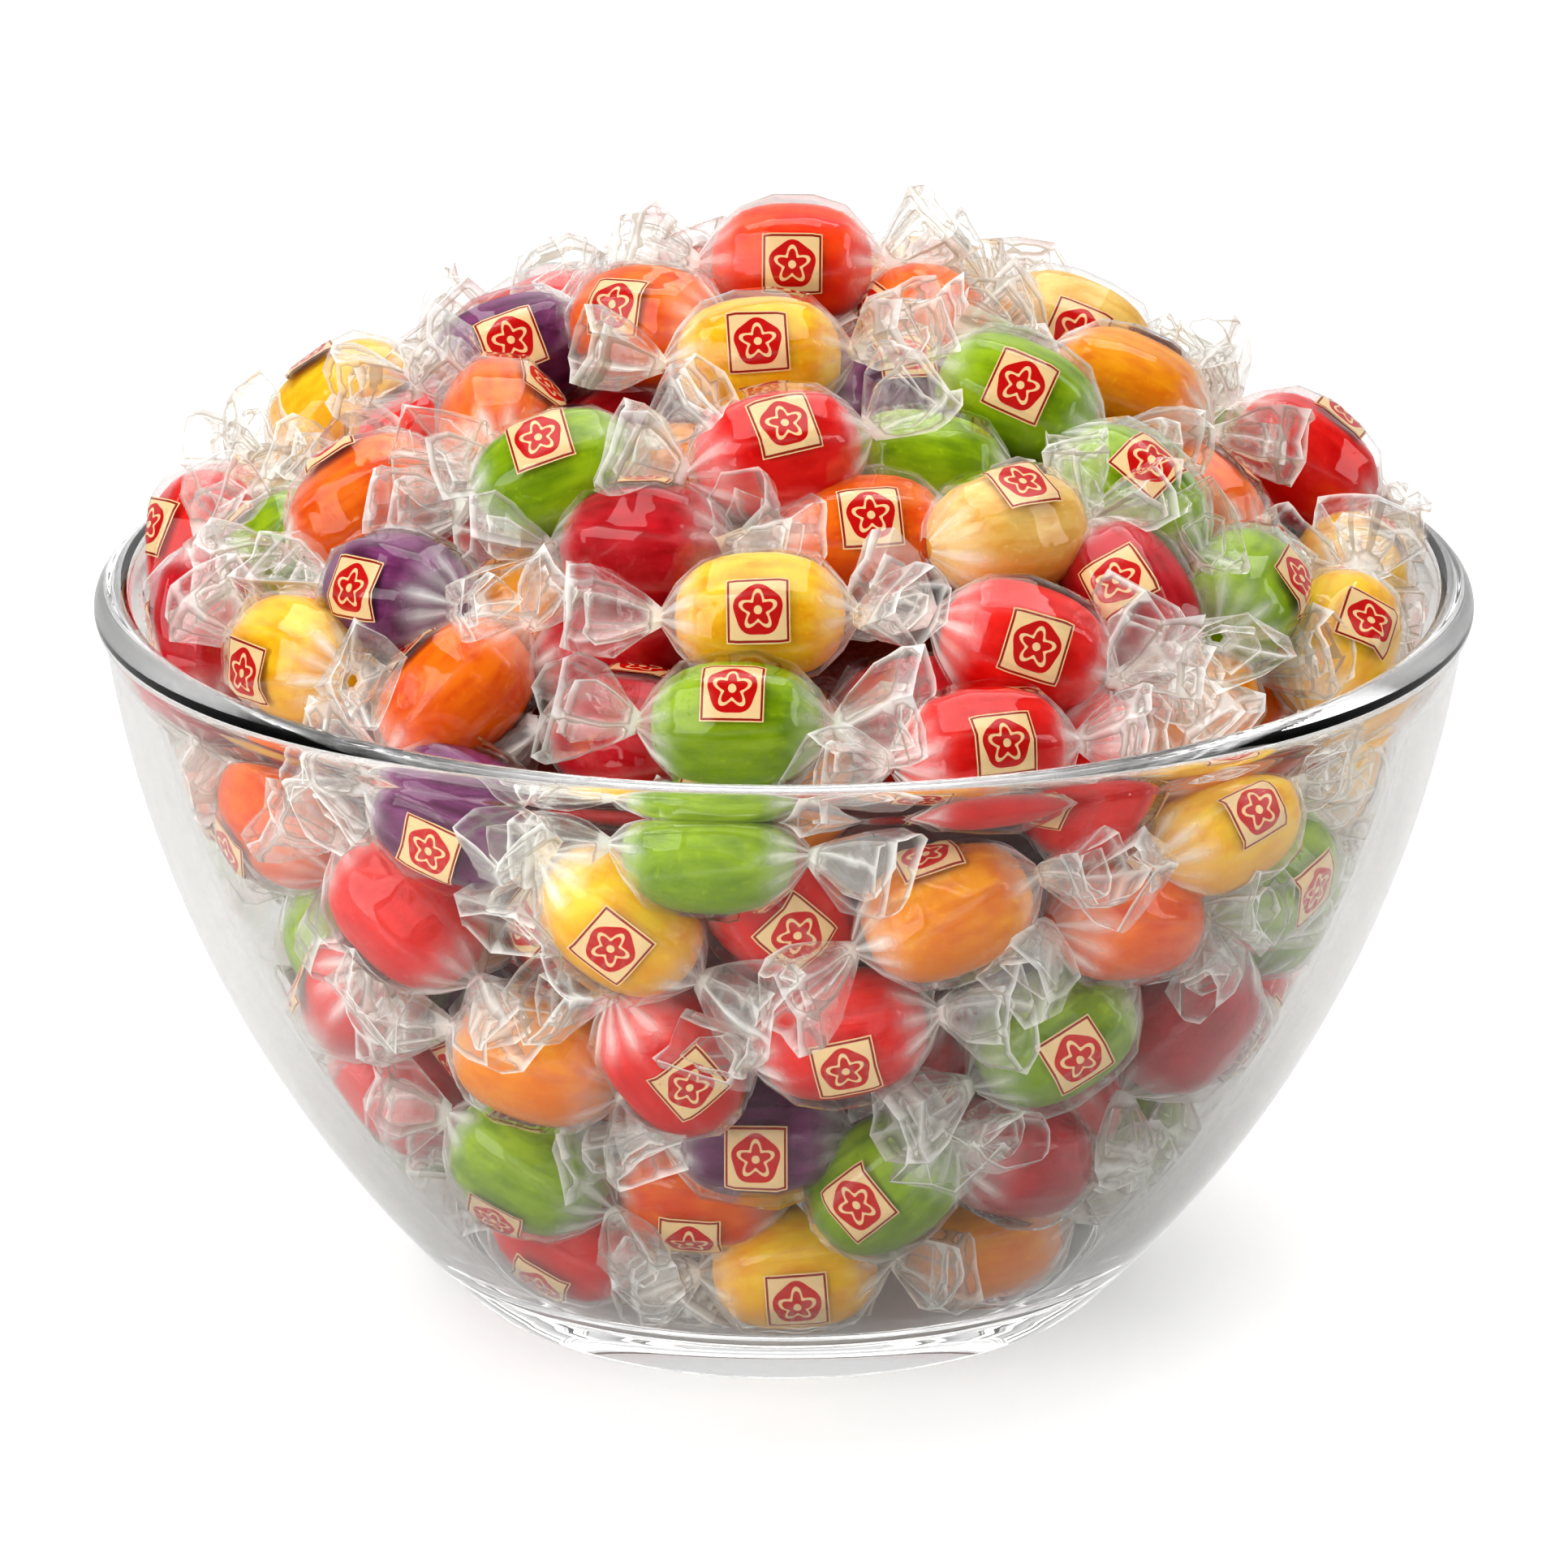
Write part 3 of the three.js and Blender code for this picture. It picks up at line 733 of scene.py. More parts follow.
@dataclass
class BodyFilm:
    """The film round one candy's body: flat facets, and pleats gathered into each twist."""

    form: CandyForm
    dice: Dice
    facets: int = 8
    sides: int = 48
    steps: int = 3
    slack: float = 0.5
    swirl: float = 0.03
    edge_mark: float = 0.4
    loose_girths: Span = (2.0, 6.0)
    pleats: int = 12
    pleat_depth: float = 0.45
    pleat_low: float = 0.3
    gather_reach: Span = (4.6, 8.2)
    thin_reach: Span = (12.6, 8.6)
    thinnest: float = 0.25
    uneven: float = 0.4
    crease: float = 0.55
    knots: tuple[float, ...] = (-11.4, -9.7, -6.7, -2.4, 2.4, 6.7, 9.7, 11.4)
    girths: tuple[float, ...] = (1.3, 3.9, 6.6, 7.75, 7.75, 6.6, 3.9, 1.3)

    def __post_init__(self) -> None:
        """Draws this wrapper's own facets and pleats."""
        dice, knots = self.dice, len(self.knots)
        self.facet_turn = FULL_TURN / self.facets
        self.phase = dice.spread(0, self.facet_turn)
        loose = dice.many(knots * self.facets).reshape(knots, self.facets)
        girths = np.array(self.girths)[:, None]
        grip = self.ramp(girths, self.loose_girths)
        corner = 1 / math.cos(self.facet_turn / 2) - 1
        self.radii = (girths + self.slack * loose * grip) * (1 + corner * grip)
        self.pleat_tones = dice.many(2, 0, FULL_TURN)
        self.turning = dice.spread(-self.swirl, self.swirl)

    @staticmethod
    def ramp(value: Points, span: Span, least: float = 0.0) -> Points:
        """From the least at one end of a span, evenly up to 1 at its other end."""
        return np.clip((value - span[0]) / (span[1] - span[0]), least, 1.0)

    def radius(self, along: Points, angle: Points) -> Points:
        """The film's distance from the axis.

        Args:
            along: Distance along the axis from the middle.
            angle: Angle round the axis from the printed square's middle.

        Returns:
            The distance at each place.
        """
        turn = self.facet_turn
        sweep = np.mod(angle - self.phase - self.turning * along + TINY, FULL_TURN)
        facet = np.minimum((sweep / turn).astype(int), self.facets - 1)
        part = sweep - facet * turn
        knots = np.array(self.knots)
        span = np.clip(np.searchsorted(knots, along, side="right") - 1, 0, len(knots) - 2)
        mix = np.clip((along - knots[span]) / (knots[span + 1] - knots[span]), 0.0, 1.0)

        def flat(ring: Points) -> Points:
            """The radius of one ring of flats at each angle."""
            near, far = self.radii[ring, facet], self.radii[ring, (facet + 1) % self.facets]
            return near * far * math.sin(turn) / (near * np.sin(part) + far * np.sin(turn - part))

        return flat(span) * (1 - mix) + flat(span + 1) * mix + self.pleat(along, angle)[0]

    def pleat(self, along: Points, angle: Points) -> tuple[Points, Points]:
        """The pleats.

        Args:
            along: Distance along the axis from the middle.
            angle: Angle round the axis from the printed square's middle.

        Returns:
            How far they lift the film, and how sharply it is folded there, from 0 to 1.
        """
        tone = self.pleat_tones[(along > 0).astype(int)]
        gather = self.ramp(np.abs(along), self.gather_reach)
        thin = self.ramp(np.abs(along), self.thin_reach, self.thinnest)
        uneven = 1 - self.uneven + self.uneven * np.cos(2 * angle + tone) * np.cos(3 * angle - tone)
        ridge = np.abs(np.mod(self.pleats * (angle - self.phase) / FULL_TURN, 1.0) * 2 - 1)
        crease = np.clip(gather * self.crease * (1 + uneven * ridge), 0.0, 1.0)
        return self.pleat_depth * gather * thin * uneven * (ridge - self.pleat_low), crease

    def local(self, along: Points, angle: Points, lift: float = 0.0) -> Points:
        """Places on the film, along the axis, across it and towards the printed square."""
        reach = self.radius(along, angle) + lift
        return joined(along, reach * np.sin(angle), reach * np.cos(angle)).reshape(-1, 3)

    def add(self, batch: Batch, candy: Candy, heap: HeapForm) -> None:
        """Adds the film of one candy's body to a batch.

        Args:
            batch: The batch.
            candy: The candy.
            heap: The heap, which keeps the film off the glass.
        """
        spans = zip(self.knots[:-1], self.knots[1:])
        rings = [np.linspace(a, b, self.steps, endpoint=False) for a, b in spans]
        rings = np.concatenate([*rings, self.knots[-1:]])
        along, angle = np.meshgrid(rings, self.phase + angles(self.sides), indexing="ij")
        angle = angle + self.turning * along
        edge = np.zeros(along.shape)
        edge[:, :: self.sides // self.facets] = self.edge_mark
        # Fold marks, which the finish paints whiter, partly real crease whitening and partly painted
        # highlight along facet edges and pleats; the sign is turned so the body's film never takes the
        # wings' painted dark line.
        fold = -np.maximum(self.pleat(along, angle)[1], edge).reshape(-1)
        spots = heap.kept_off_glass(candy.point(self.local(along, angle)))
        batch.add(spots, tube_faces(len(rings), self.sides), mark=fold)


@dataclass(frozen=True)
class FilmWing:
    """One flared wing of a wrapper: a crumpled cone of film with a smaller one folded inside it."""

    form: CandyForm
    rings: tuple[float, ...] = (0.0, 0.2, 0.5, 0.78, 1.0)
    girths: tuple[float, ...] = (0.18, 0.46, 0.86, 1.0, 0.9)
    folds: int = 4
    inner_scale: float = 0.6
    inner_length: float = 0.78
    split: int = 3
    row_split: int = 2
    lift: float = 0.45
    lift_spread: Span = (0.3, 1.3)
    tilt: float = 0.9
    middle: float = 0.6
    length_spread: Span = (0.9, 1.12)
    uneven: float = 0.28
    fold_depth: float = 0.2
    depth_spread: Span = (0.5, 1.5)
    twirl: float = 0.5
    crumple: float = 0.2
    slip: float = 0.09
    swell: float = 0.6
    twist_folds: float = 0.2
    fold_growth: float = 2.0
    wrinkle: float = 0.07
    wrinkle_way: tuple[float, float, float] = (0.5, 1.0, 1.0)
    crossed_ring: int = 3
    flat_marks: Span = (0.1, 0.6)
    fold_marks: Span = (0.5, 1.0)
    cross_marks: Span = (0.3, 0.9)
    valley_mark: float = 0.7
    twist_mark: float = 0.85

    def add(self, batch: Batch, candy: Candy, side: int, crowd: "CandyHeap") -> None:
        """Adds one wing of a candy to a batch, unless it would lie over a seen candy's print.

        Args:
            batch: The batch.
            candy: The candy.
            side: 0 for the wing at the axis's start, 1 for the one at its end.
            crowd: The heap's other candies, which the wing is kept out of.
        """
        dice, form = candy.dice, self.form
        twist = candy.middle + candy.axis * (2 * side - 1) * form.pinch
        away = crowd.heap.outward(twist)
        aim = unit(candy.wings[side] + away * self.lift * dice.spread(*self.lift_spread))
        if crowd.hides_print(twist + aim * form.wing_length * self.middle):
            return
        wide = unit(np.cross(away, aim))
        thin = np.cross(aim, wide)
        tilt = dice.spread(-self.tilt, self.tilt)
        cos, sin = math.cos(tilt), math.sin(tilt)
        basis = np.stack([aim, wide * cos + thin * sin, thin * cos - wide * sin])
        length = form.wing_length * dice.spread(*self.length_spread)
        cones = ((1.0, length, self.folds), (self.inner_scale, length * self.inner_length, self.folds - 1))
        for scale, reach, folds in cones:
            local, fold, sides, rows = self.cone(dice, reach, scale, folds)
            spots = crowd.heap.kept_off_glass(crowd.kept_off_candies(twist + local @ basis, candy))
            batch.add(spots, tube_faces(rows, sides), mark=fold, smooth=False)

    def cone(self, dice: Dice, length: float, scale: float, folds: int) -> tuple[Points, Points, int, int]:
        """One crumpled cone of film.

        Args:
            dice: The candy's stream of numbers.
            length: From the twist to the outer edge.
            scale: Its width against the wing's.
            folds: How many pleats it has.

        Returns:
            The vertices, how sharply the film is folded at each, the vertices a ring and the rings.
        """
        count = 2 * folds
        peaks = np.arange(count) % 2 == 0
        start = dice.spread(0, FULL_TURN)
        turns = start + FULL_TURN * (np.arange(count) + dice.many(count, -self.uneven, self.uneven)) / count
        depth = np.where(peaks, 1.0, 1.0 - self.fold_depth * dice.many(count, *self.depth_spread))
        twirl = dice.spread(-self.twirl, self.twirl)
        rows = []
        for share, girth in zip(self.rings, self.girths):
            rough = self.crumple * share
            jitter = dice.many(count, 1 - rough, 1 + self.swell * rough)
            slip = dice.many(count, -self.slip, self.slip) * share
            folded = 1 + (depth - 1) * min(1.0, self.twist_folds + self.fold_growth * share)
            radius = girth * folded * jitter * scale
            angle = turns + twirl * share
            wide = radius * np.cos(angle) * self.form.wing_width / 2
            thick = radius * np.sin(angle) * self.form.wing_thickness / 2
            rows.append(joined((share + slip) * length, wide, thick))
        coarse = np.array(rows)
        coarse[0, :, 0] = 0.0
        fine = self.subdivided(coarse)
        wrinkle = dice.many(fine[..., 0].size, -self.wrinkle, self.wrinkle).reshape(fine.shape[:2])
        fine[1:] += (wrinkle[..., None] * np.array(self.wrinkle_way))[1:]
        # Fold marks, which the finish paints whiter as part real crease whitening, part painted highlight
        # along ridges, twist and outer edge, and in a narrow band as a painted dark line.
        fold = np.tile(dice.many(count, *self.flat_marks).repeat(self.split), (len(fine), 1))
        fold[:, :: self.split] = np.where(peaks, 1.0, self.valley_mark) * dice.many(count, *self.fold_marks)
        crossed = self.crossed_ring * self.row_split
        fold[crossed] = np.maximum(fold[crossed], dice.spread(*self.cross_marks))
        fold[-1] = 1.0
        fold[: self.row_split] = self.twist_mark
        return fine.reshape(-1, 3), fold.reshape(-1), fine.shape[1], fine.shape[0]

    def subdivided(self, coarse: Points) -> Points:
        """Splits the cells of a ring-by-ring net of points evenly.

        Args:
            coarse: The net, a row of points a ring.

        Returns:
            The finer net, still flat in each cell.
        """
        parts = (np.arange(self.split) / self.split)[None, None, :, None]
        rings = coarse[:, :, None] * (1 - parts) + np.roll(coarse, -1, axis=1)[:, :, None] * parts
        rings = rings.reshape(len(coarse), -1, 3)
        parts = (np.arange(self.row_split) / self.row_split)[None, :, None, None]
        rows = rings[:-1, None] * (1 - parts) + rings[1:, None] * parts
        return np.concatenate([rows.reshape(-1, *rings.shape[1:]), rings[-1:]])


@dataclass(frozen=True)
class PrintedSquare:
    """The small square printed on the film, once on each side of the candy."""

    size: float = 7.4
    cells: int = 6
    lift: float = 0.07
    turns: tuple[float, ...] = (0.0, 2.7)

    def add(self, batch: Batch, candy: Candy, film: BodyFilm, heap: HeapForm) -> None:
        """Adds the printed squares of one candy to a batch.

        Args:
            batch: The batch.
            candy: The candy.
            film: The film that they are printed on.
            heap: The heap, which keeps them off the glass.
        """
        edge = np.linspace(-self.size / 2, self.size / 2, self.cells + 1)
        along, over = np.meshgrid(edge, edge, indexing="ij")
        place = joined(along, over).reshape(-1, 2) / self.size + 0.5
        for turn in self.turns:
            local = film.local(along, turn + over / max(film.girths), self.lift)
            batch.add(heap.kept_off_glass(candy.point(local)), grid_faces(self.cells + 1), place=place)


# ---------------------------------------------------------------------------------------------
# Materials
# ---------------------------------------------------------------------------------------------


def math_node(operation: str, reflected: bool = False) -> Callable[["Wire", Setting], "Wire"]:
    """Writes an operator of Wire.

    Args:
        operation: The Math node's operation.
        reflected: Whether the other value comes first.

    Returns:
        The operator.
    """

    def operator(wire: "Wire", other: Setting) -> "Wire":
        """One Math node on this and another value."""
        return wire.recipe.maths(operation, *((other, wire) if reflected else (wire, other)))

    return operator


class Wire:
    """A shader socket that can be written in sums: each sum adds its Math node."""

    __add__ = __radd__ = math_node("ADD")
    __sub__ = math_node("SUBTRACT")
    __rsub__ = math_node("SUBTRACT", reflected=True)
    __mul__ = __rmul__ = math_node("MULTIPLY")
    __pow__ = math_node("POWER")
    __lt__ = math_node("LESS_THAN")
    __gt__ = math_node("GREATER_THAN")

    def __init__(self, recipe: "Recipe", socket: bpy.types.NodeSocket) -> None:
        """Wraps an output socket of a recipe."""
        self.recipe = recipe
        self.socket = socket

    def __abs__(self) -> "Wire":
        """This without its sign."""
        return self.recipe.maths("ABSOLUTE", self)

    def between(self, low: Setting, high: Setting) -> "Wire":
        """One where this is more than one limit and less than another, and zero elsewhere."""
        return (self > low) * (self < high)


class Recipe:
    """A material, or the world's surroundings, made node by node."""

    def __init__(self, data: bpy.types.Material | bpy.types.World) -> None:
        """Empties the node tree of a new material or world.

        Args:
            data: The material or the world.
        """
        self.data = data
        self.data.use_nodes = True
        self.tree = self.data.node_tree
        self.tree.nodes.clear()

    @classmethod
    def of_material(cls, name: str) -> "Recipe":
        """Starts an empty material."""
        return cls(bpy.data.materials.new(name))

    def node(
        self,
        kind: str,
        settings: Mapping[str, object] | None = None,
        sockets: Mapping[str | int, Setting] | None = None,
        out: str | int = 0,
    ) -> Wire:
        """Adds one node.

        Args:
            kind: The node's type.
            settings: Its properties, set first.
            sockets: The value or link of each input socket, by name or number.
            out: The output socket that is handed back.

        Returns:
            That output.
        """
        node = self.tree.nodes.new(kind)
        for key, value in (settings or {}).items():
            setattr(node, key, value)
        for key, value in (sockets or {}).items():
            if isinstance(value, Wire):
                self.tree.links.new(value.socket, node.inputs[key])
            elif isinstance(value, tuple) and node.inputs[key].type == "RGBA":
                node.inputs[key].default_value = (*value[:3], 1.0)
            else:
                node.inputs[key].default_value = value
        return Wire(self, node.outputs[out])

    def maths(self, operation: str, *values: Setting) -> Wire:
        """A Math node on one value or more."""
        return self.node("ShaderNodeMath", {"operation": operation}, dict(enumerate(values)))

    def vector(self, operation: str, *values: Setting) -> Wire:
        """A Vector Math node on one vector or more."""
        return self.node("ShaderNodeVectorMath", {"operation": operation}, dict(enumerate(values)))

    def mixed(self, share: Setting, first: Setting, second: Setting) -> Wire:
        """A colour between two, by a share."""
        return self.node("ShaderNodeMix", {"data_type": "RGBA"}, {0: share, 6: first, 7: second}, out=2)

    def blended(self, share: Setting, first: Wire, second: Wire) -> Wire:
        """A shader between two, by a share."""
        return self.node("ShaderNodeMixShader", None, {0: share, 1: first, 2: second})

    def noise(self, scale: float, detail: float = 3.0, space: Wire | None = None) -> Wire:
        """Noise through a space, or the object's own, with features of about a unit over the scale."""
        space = space or self.node("ShaderNodeTexCoord", out="Object")
        return self.node("ShaderNodeTexNoise", None, {"Vector": space, "Scale": scale, "Detail": detail})

    def bump(self, strength: float, distance: float, height: Wire) -> Wire:
        """The surface's direction, made uneven by a height."""
        sockets = {"Strength": strength, "Distance": distance, "Height": height}
        return self.node("ShaderNodeBump", None, sockets)

    def attribute(self, name: str, out: str = "Fac") -> Wire:
        """A value stored on the mesh."""
        return self.node("ShaderNodeAttribute", {"attribute_name": name}, out=out)

    def ray(self, kind: str) -> Wire:
        """One for rays of a kind, and zero for the others."""
        return self.node("ShaderNodeLightPath", out=f"Is {kind} Ray")

    def principled(self, **sockets: Setting) -> Wire:
        """The usual shader, with its sockets named in words joined by underscores."""
        named = {key.replace("_", " "): value for key, value in sockets.items()}
        return self.node("ShaderNodeBsdfPrincipled", None, named)

    def coloured(self, kind: str, colour: Colour, **sockets: Setting) -> Wire:
        """A plain shader of one colour."""
        return self.node(f"ShaderNodeBsdf{kind}", None, {"Color": colour, **sockets})

    def finish(self, surface: Wire, output: str = "ShaderNodeOutputMaterial") -> bpy.types.ID:
        """Joins a shader to the output, and hands back the material or world."""
        self.tree.links.new(surface.socket, self.tree.nodes.new(output).inputs["Surface"])
        return self.data


@dataclass(frozen=True)
class SugarFinish:
    """Boiled sugar: clear colour with paler clouds, painted paler towards the top and deeper towards the
    bottom as light from above would leave it, and a gloss.
    """

    flavour: Flavour
    cloud_scale: float = 170.0
    draw: tuple[float, float, float] = (0.05, 0.22, 0.22)
    streak_scale: float = 3.0
    cloud_span: Span = (0.38, 0.62)
    palest: float = 1.1
    lit_from_above: float = 1.2
    bubble_scale: float = 1300.0
    bubble_level: float = 0.74
    bubble_paleness: float = 0.3
    grain_scale: float = 900.0
    grain_strength: float = 0.25
    grain_depth: float = 0.0002
    roughness: float = 0.3
    specular: float = 0.07

    def material(self) -> bpy.types.Material:
        """Makes the material.

        Returns:
            The material.
        """
        recipe = Recipe.of_material(f"{self.flavour.label}_sugar")
        deep, pale = (linear(*colour) for colour in self.flavour.value[1:])
        drawn = recipe.vector("MULTIPLY", recipe.attribute("grain", "Vector"), self.draw)
        streaks = recipe.noise(self.streak_scale, space=drawn)
        cloud = recipe.noise(self.cloud_scale) * 0.5 + streaks * 0.5
        low, high = self.cloud_span
        span = {"Value": cloud, "From Min": low, "From Max": high, "To Max": self.palest}
        share = recipe.node("ShaderNodeMapRange", None, span)
        bubble = (recipe.noise(self.bubble_scale, 0.0) > self.bubble_level) * self.bubble_paleness
        # Painted light and shade: the pale clouds are strengthened towards the top and faded towards the
        # bottom by how low each spot lies, which the mesh stores under "fold".
        share = share * (self.lit_from_above - recipe.attribute("fold")) + bubble
        shader = recipe.principled(
            Base_Color=recipe.mixed(share, deep, pale),
            Roughness=self.roughness,
            Specular_IOR_Level=self.specular,
            Normal=recipe.bump(self.grain_strength, self.grain_depth, recipe.noise(self.grain_scale)),
        )
        return recipe.finish(shader)


@dataclass(frozen=True)
class FilmFinish:
    """Clear wrapper film: mirror-like at a slant, and whitened where it is folded, partly as real crease
    whitening and partly as a painted highlight; a narrow band of fold marks on the wings is a painted dark
    line.
    """

    mirror: float = 0.036
    mirror_rise: float = 3.4
    fold_haze_and_highlight: float = 0.78
    haze_rise: float = 3.0
    haze_and_highlight: Colour = (0.92, 0.91, 0.88)
    clear: Colour = (0.985, 0.985, 0.98)
    shade: Colour = (0.62, 0.56, 0.47)
    shade_span: Span = (0.62, 0.72)
    roughness: float = 0.05
    wrinkle_scale: float = 420.0
    wrinkle_strength: float = 0.3
    wrinkle_depth: float = 0.0003

    def material(self) -> bpy.types.Material:
        """Makes the material.

        Returns:
            The material.
        """
        recipe = Recipe.of_material("wrapper_film")
        fold = recipe.attribute("fold")
        plain = recipe.coloured("Transparent", self.clear)
        # Painted shade: where the wings' fold marks fall in a narrow band, the film lets only a dark
        # brownish tint through, a painted dark line along the folds.
        dark = recipe.coloured("Transparent", self.shade)
        clear = recipe.blended(fold.between(*self.shade_span), plain, dark)
        ripples = recipe.noise(self.wrinkle_scale, 0.0)
        wrinkle = recipe.bump(self.wrinkle_strength, self.wrinkle_depth, ripples)
        shine = recipe.coloured("Glossy", WHITE, Roughness=self.roughness, Normal=wrinkle)
        slant = recipe.node("ShaderNodeLayerWeight", None, {"Blend": 0.5}, out="Facing")
        mirror = self.mirror + (slant**self.mirror_rise) * (1.0 - self.mirror)
        # Partly real whitening of creased film, partly painted highlight: folds, twists and outer edges are
        # laid over with white.
        haze_and_highlight_cover = (abs(fold) ** self.haze_rise) * self.fold_haze_and_highlight
        white = recipe.coloured("Diffuse", self.haze_and_highlight)
        return recipe.finish(recipe.blended(haze_and_highlight_cover, recipe.blended(mirror, clear, shine), white))


@dataclass(frozen=True)
class PrintFinish:
    """The printed square: cream ground, a thin dark frame, and a red rosette with a cream blossom line."""

    ground: Colour = linear(236, 204, 152)
    frame_line: Colour = linear(150, 40, 24)
    red: Colour = linear(196, 18, 12)
    petals: float = 5.0
    dot: float = 0.13
    rosette: Span = (0.76, 0.035)
    line_inside: Span = (0.38, 0.12)
    line_outside: Span = (0.5, 0.13)
    frame_span: Span = (0.89, 0.96)
    roughness: float = 0.22

    def material(self) -> bpy.types.Material:
        """Makes the material.

        Returns:
            The material.
        """
        recipe = Recipe.of_material("wrapper_print")
        place = recipe.node("ShaderNodeUVMap", {"uv_map": "print"})
        centred = recipe.vector("MULTIPLY_ADD", place, (2, 2, 2), (-1, -1, -1))
        across, over = (recipe.node("ShaderNodeSeparateXYZ", None, {0: centred}, out=i) for i in (0, 1))
        edge = recipe.maths("MAXIMUM", abs(across), abs(over))
        reach = recipe.maths("SQRT", across * across + over * over)
        lobes = recipe.maths("COSINE", recipe.maths("ARCTAN2", across, over) * self.petals)
        outer, inside, outside = (
            size + lobes * swing for size, swing in (self.rosette, self.line_inside, self.line_outside)
        )
        rosette = reach.between(self.dot, outer) * (1.0 - reach.between(inside, outside))
        colour = recipe.mixed(rosette, self.ground, self.red)
        colour = recipe.mixed(edge.between(*self.frame_span), colour, self.frame_line)
        return recipe.finish(recipe.principled(Base_Color=colour, Roughness=self.roughness))


@dataclass(frozen=True)
class GlassFinish:
    """Clear pressed glass. Light on its way to the candies passes straight through."""

    tint: Colour = (0.985, 0.992, 0.99)
    lets_through: Colour = (0.96, 0.97, 0.97)
    refraction: float = 1.5

    def material(self) -> bpy.types.Material:
        """Makes the material.

        Returns:
            The material.
        """
        recipe = Recipe.of_material("bowl_glass")
        glass = recipe.principled(
            Base_Color=self.tint, Roughness=0.0, IOR=self.refraction, Transmission_Weight=1.0
        )
        through = recipe.coloured("Transparent", self.lets_through)
        return recipe.finish(recipe.blended(recipe.ray("Shadow"), glass, through))


@dataclass(frozen=True)
class DeepShadeFinish:
    """The heap's inside, painted in dark shade: candies too deep to tell apart, coloured darker than their
    own colours for the shade among them.
    """

    dark: Colour = linear(66, 8, 12)
    light: Colour = linear(132, 40, 18)
    cloud_scale: float = 90.0
    bump_scale: float = 240.0
    bump_strength: float = 0.6
    bump_depth: float = 0.002
    roughness: float = 0.4

    def material(self) -> bpy.types.Material:
        """Makes the material.

        Returns:
            The material.
        """
        recipe = Recipe.of_material("shaded_heap_inside")
        # Painted shade: dark maroon clouds stand for the shade deep between the candies.
        colour = recipe.mixed(recipe.noise(self.cloud_scale), self.dark, self.light)
        bump = recipe.bump(self.bump_strength, self.bump_depth, recipe.noise(self.bump_scale))
        return recipe.finish(recipe.principled(Base_Color=colour, Roughness=self.roughness, Normal=bump))


@dataclass(frozen=True)
class FloorFinish:
    """A plain pale floor with the faintest grain, dimmer in its light on the bowl than to the eye."""

    low: Colour = (0.93, 0.93, 0.93)
    high: Colour = (0.95, 0.95, 0.95)
    grain_scale: float = 6.0
    glow: float = 0.4
    roughness: float = 0.6
    dim: Colour = (0.74, 0.72, 0.7)

    def material(self) -> bpy.types.Material:
        """Makes the material.

        Returns:
            The material.
        """
        recipe = Recipe.of_material("pale_floor")
        bright = recipe.principled(
            Base_Color=recipe.mixed(recipe.noise(self.grain_scale), self.low, self.high),
            Roughness=self.roughness,
            Emission_Color=WHITE,
            Emission_Strength=self.glow,
        )
        dim = recipe.coloured("Diffuse", self.dim)
        return recipe.finish(recipe.blended(recipe.ray("Camera"), dim, bright))


# ---------------------------------------------------------------------------------------------
# Sub-assemblies
# ---------------------------------------------------------------------------------------------


@dataclass
class GlassBowl:
    """The turned glass bowl, finer than its solid."""

    form: BowlForm
    segments: int = 160
    wall_steps: int = 28
    corner_steps: int = 8
    lip_steps: int = 16
    lip_tuck: float = 0.6

    def corner(self, ground: float, inset: float, radius: float) -> Points:
        """A rounded corner from level ground up to the wall.

        Args:
            ground: The height that it starts from.
            inset: How far inwards the wall's arc is moved that it meets.
            radius: Its radius.

        Returns:
            Points of the section, from the ground up.
        """
        height = ground + radius
        middle = float(self.form.wall_radius(height, inset + radius))
        meets = math.atan2(height - self.form.upright_height, middle - self.form.arc_middle)
        return self.round_edge(middle, height, radius, -math.pi / 2, meets, self.corner_steps)

    @staticmethod
    def round_edge(
        radius: float, height: float, bend: float, start: float, end: float, steps: int
    ) -> Points:
        """Points round a centre at a radius and height, this far from it, from one direction to another."""
        angle = np.linspace(start, end, steps + 1)
        return joined(radius + bend * np.cos(angle), height + bend * np.sin(angle))

    def wall(self, low: float, high: float, inset: float) -> Points:
        """Points up the wall's arc, from just above one height to another."""
        height = low + (high - low) * np.arange(1, self.wall_steps + 1) / self.wall_steps
        return joined(self.form.wall_radius(height, inset), height)

    def profile(self) -> Points:
        """The bowl's section.

        Returns:
            Its points: foot, wall, lip, and back down the inside to the floor.
        """
        form = self.form
        lip = (form.wall + form.lip_proud) / 2
        lip_middle = float(form.wall_radius(form.height, 0.0)) + form.lip_proud - lip
        top = form.height - 2 * lip
        foot = self.corner(0.0, 0.0, form.foot_edge)
        inside = self.corner(form.floor, form.wall, form.floor_fillet)
        rim = self.round_edge(lip_middle, form.height - lip, lip, -self.lip_tuck, math.pi, self.lip_steps)
        wall, inner_wall = self.wall(foot[-1, 1], top, 0.0), self.wall(inside[-1, 1], top, form.wall)
        return np.concatenate([foot, wall, rim, inner_wall[::-1], inside[::-1]])

    def build(self) -> bpy.types.Object:
        """Makes the piece, which stands for the solid bowl.

        Returns:
            The piece.
        """
        profile = self.profile()
        angle = angles(self.segments)
        rings = joined(profile[:, :1] * np.cos(angle), profile[:, :1] * np.sin(angle), profile[:, 1:])
        batch = Batch()
        batch.add(rings.reshape(-1, 3), tube_faces(len(profile), self.segments))
        for ring, height, flip in ((0, 0.0, 1), (len(profile) - 1, self.form.floor, -1)):
            rim = (ring * self.segments + np.arange(self.segments))[::flip] - batch.total
            batch.add(np.array([[0.0, 0.0, height]]), joined(0, np.roll(rim, -1), rim, rim))
        piece = batch.piece("clear_glass_bowl", GlassFinish().material())
        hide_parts("glass_bowl")
        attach(piece, "root")
        return piece


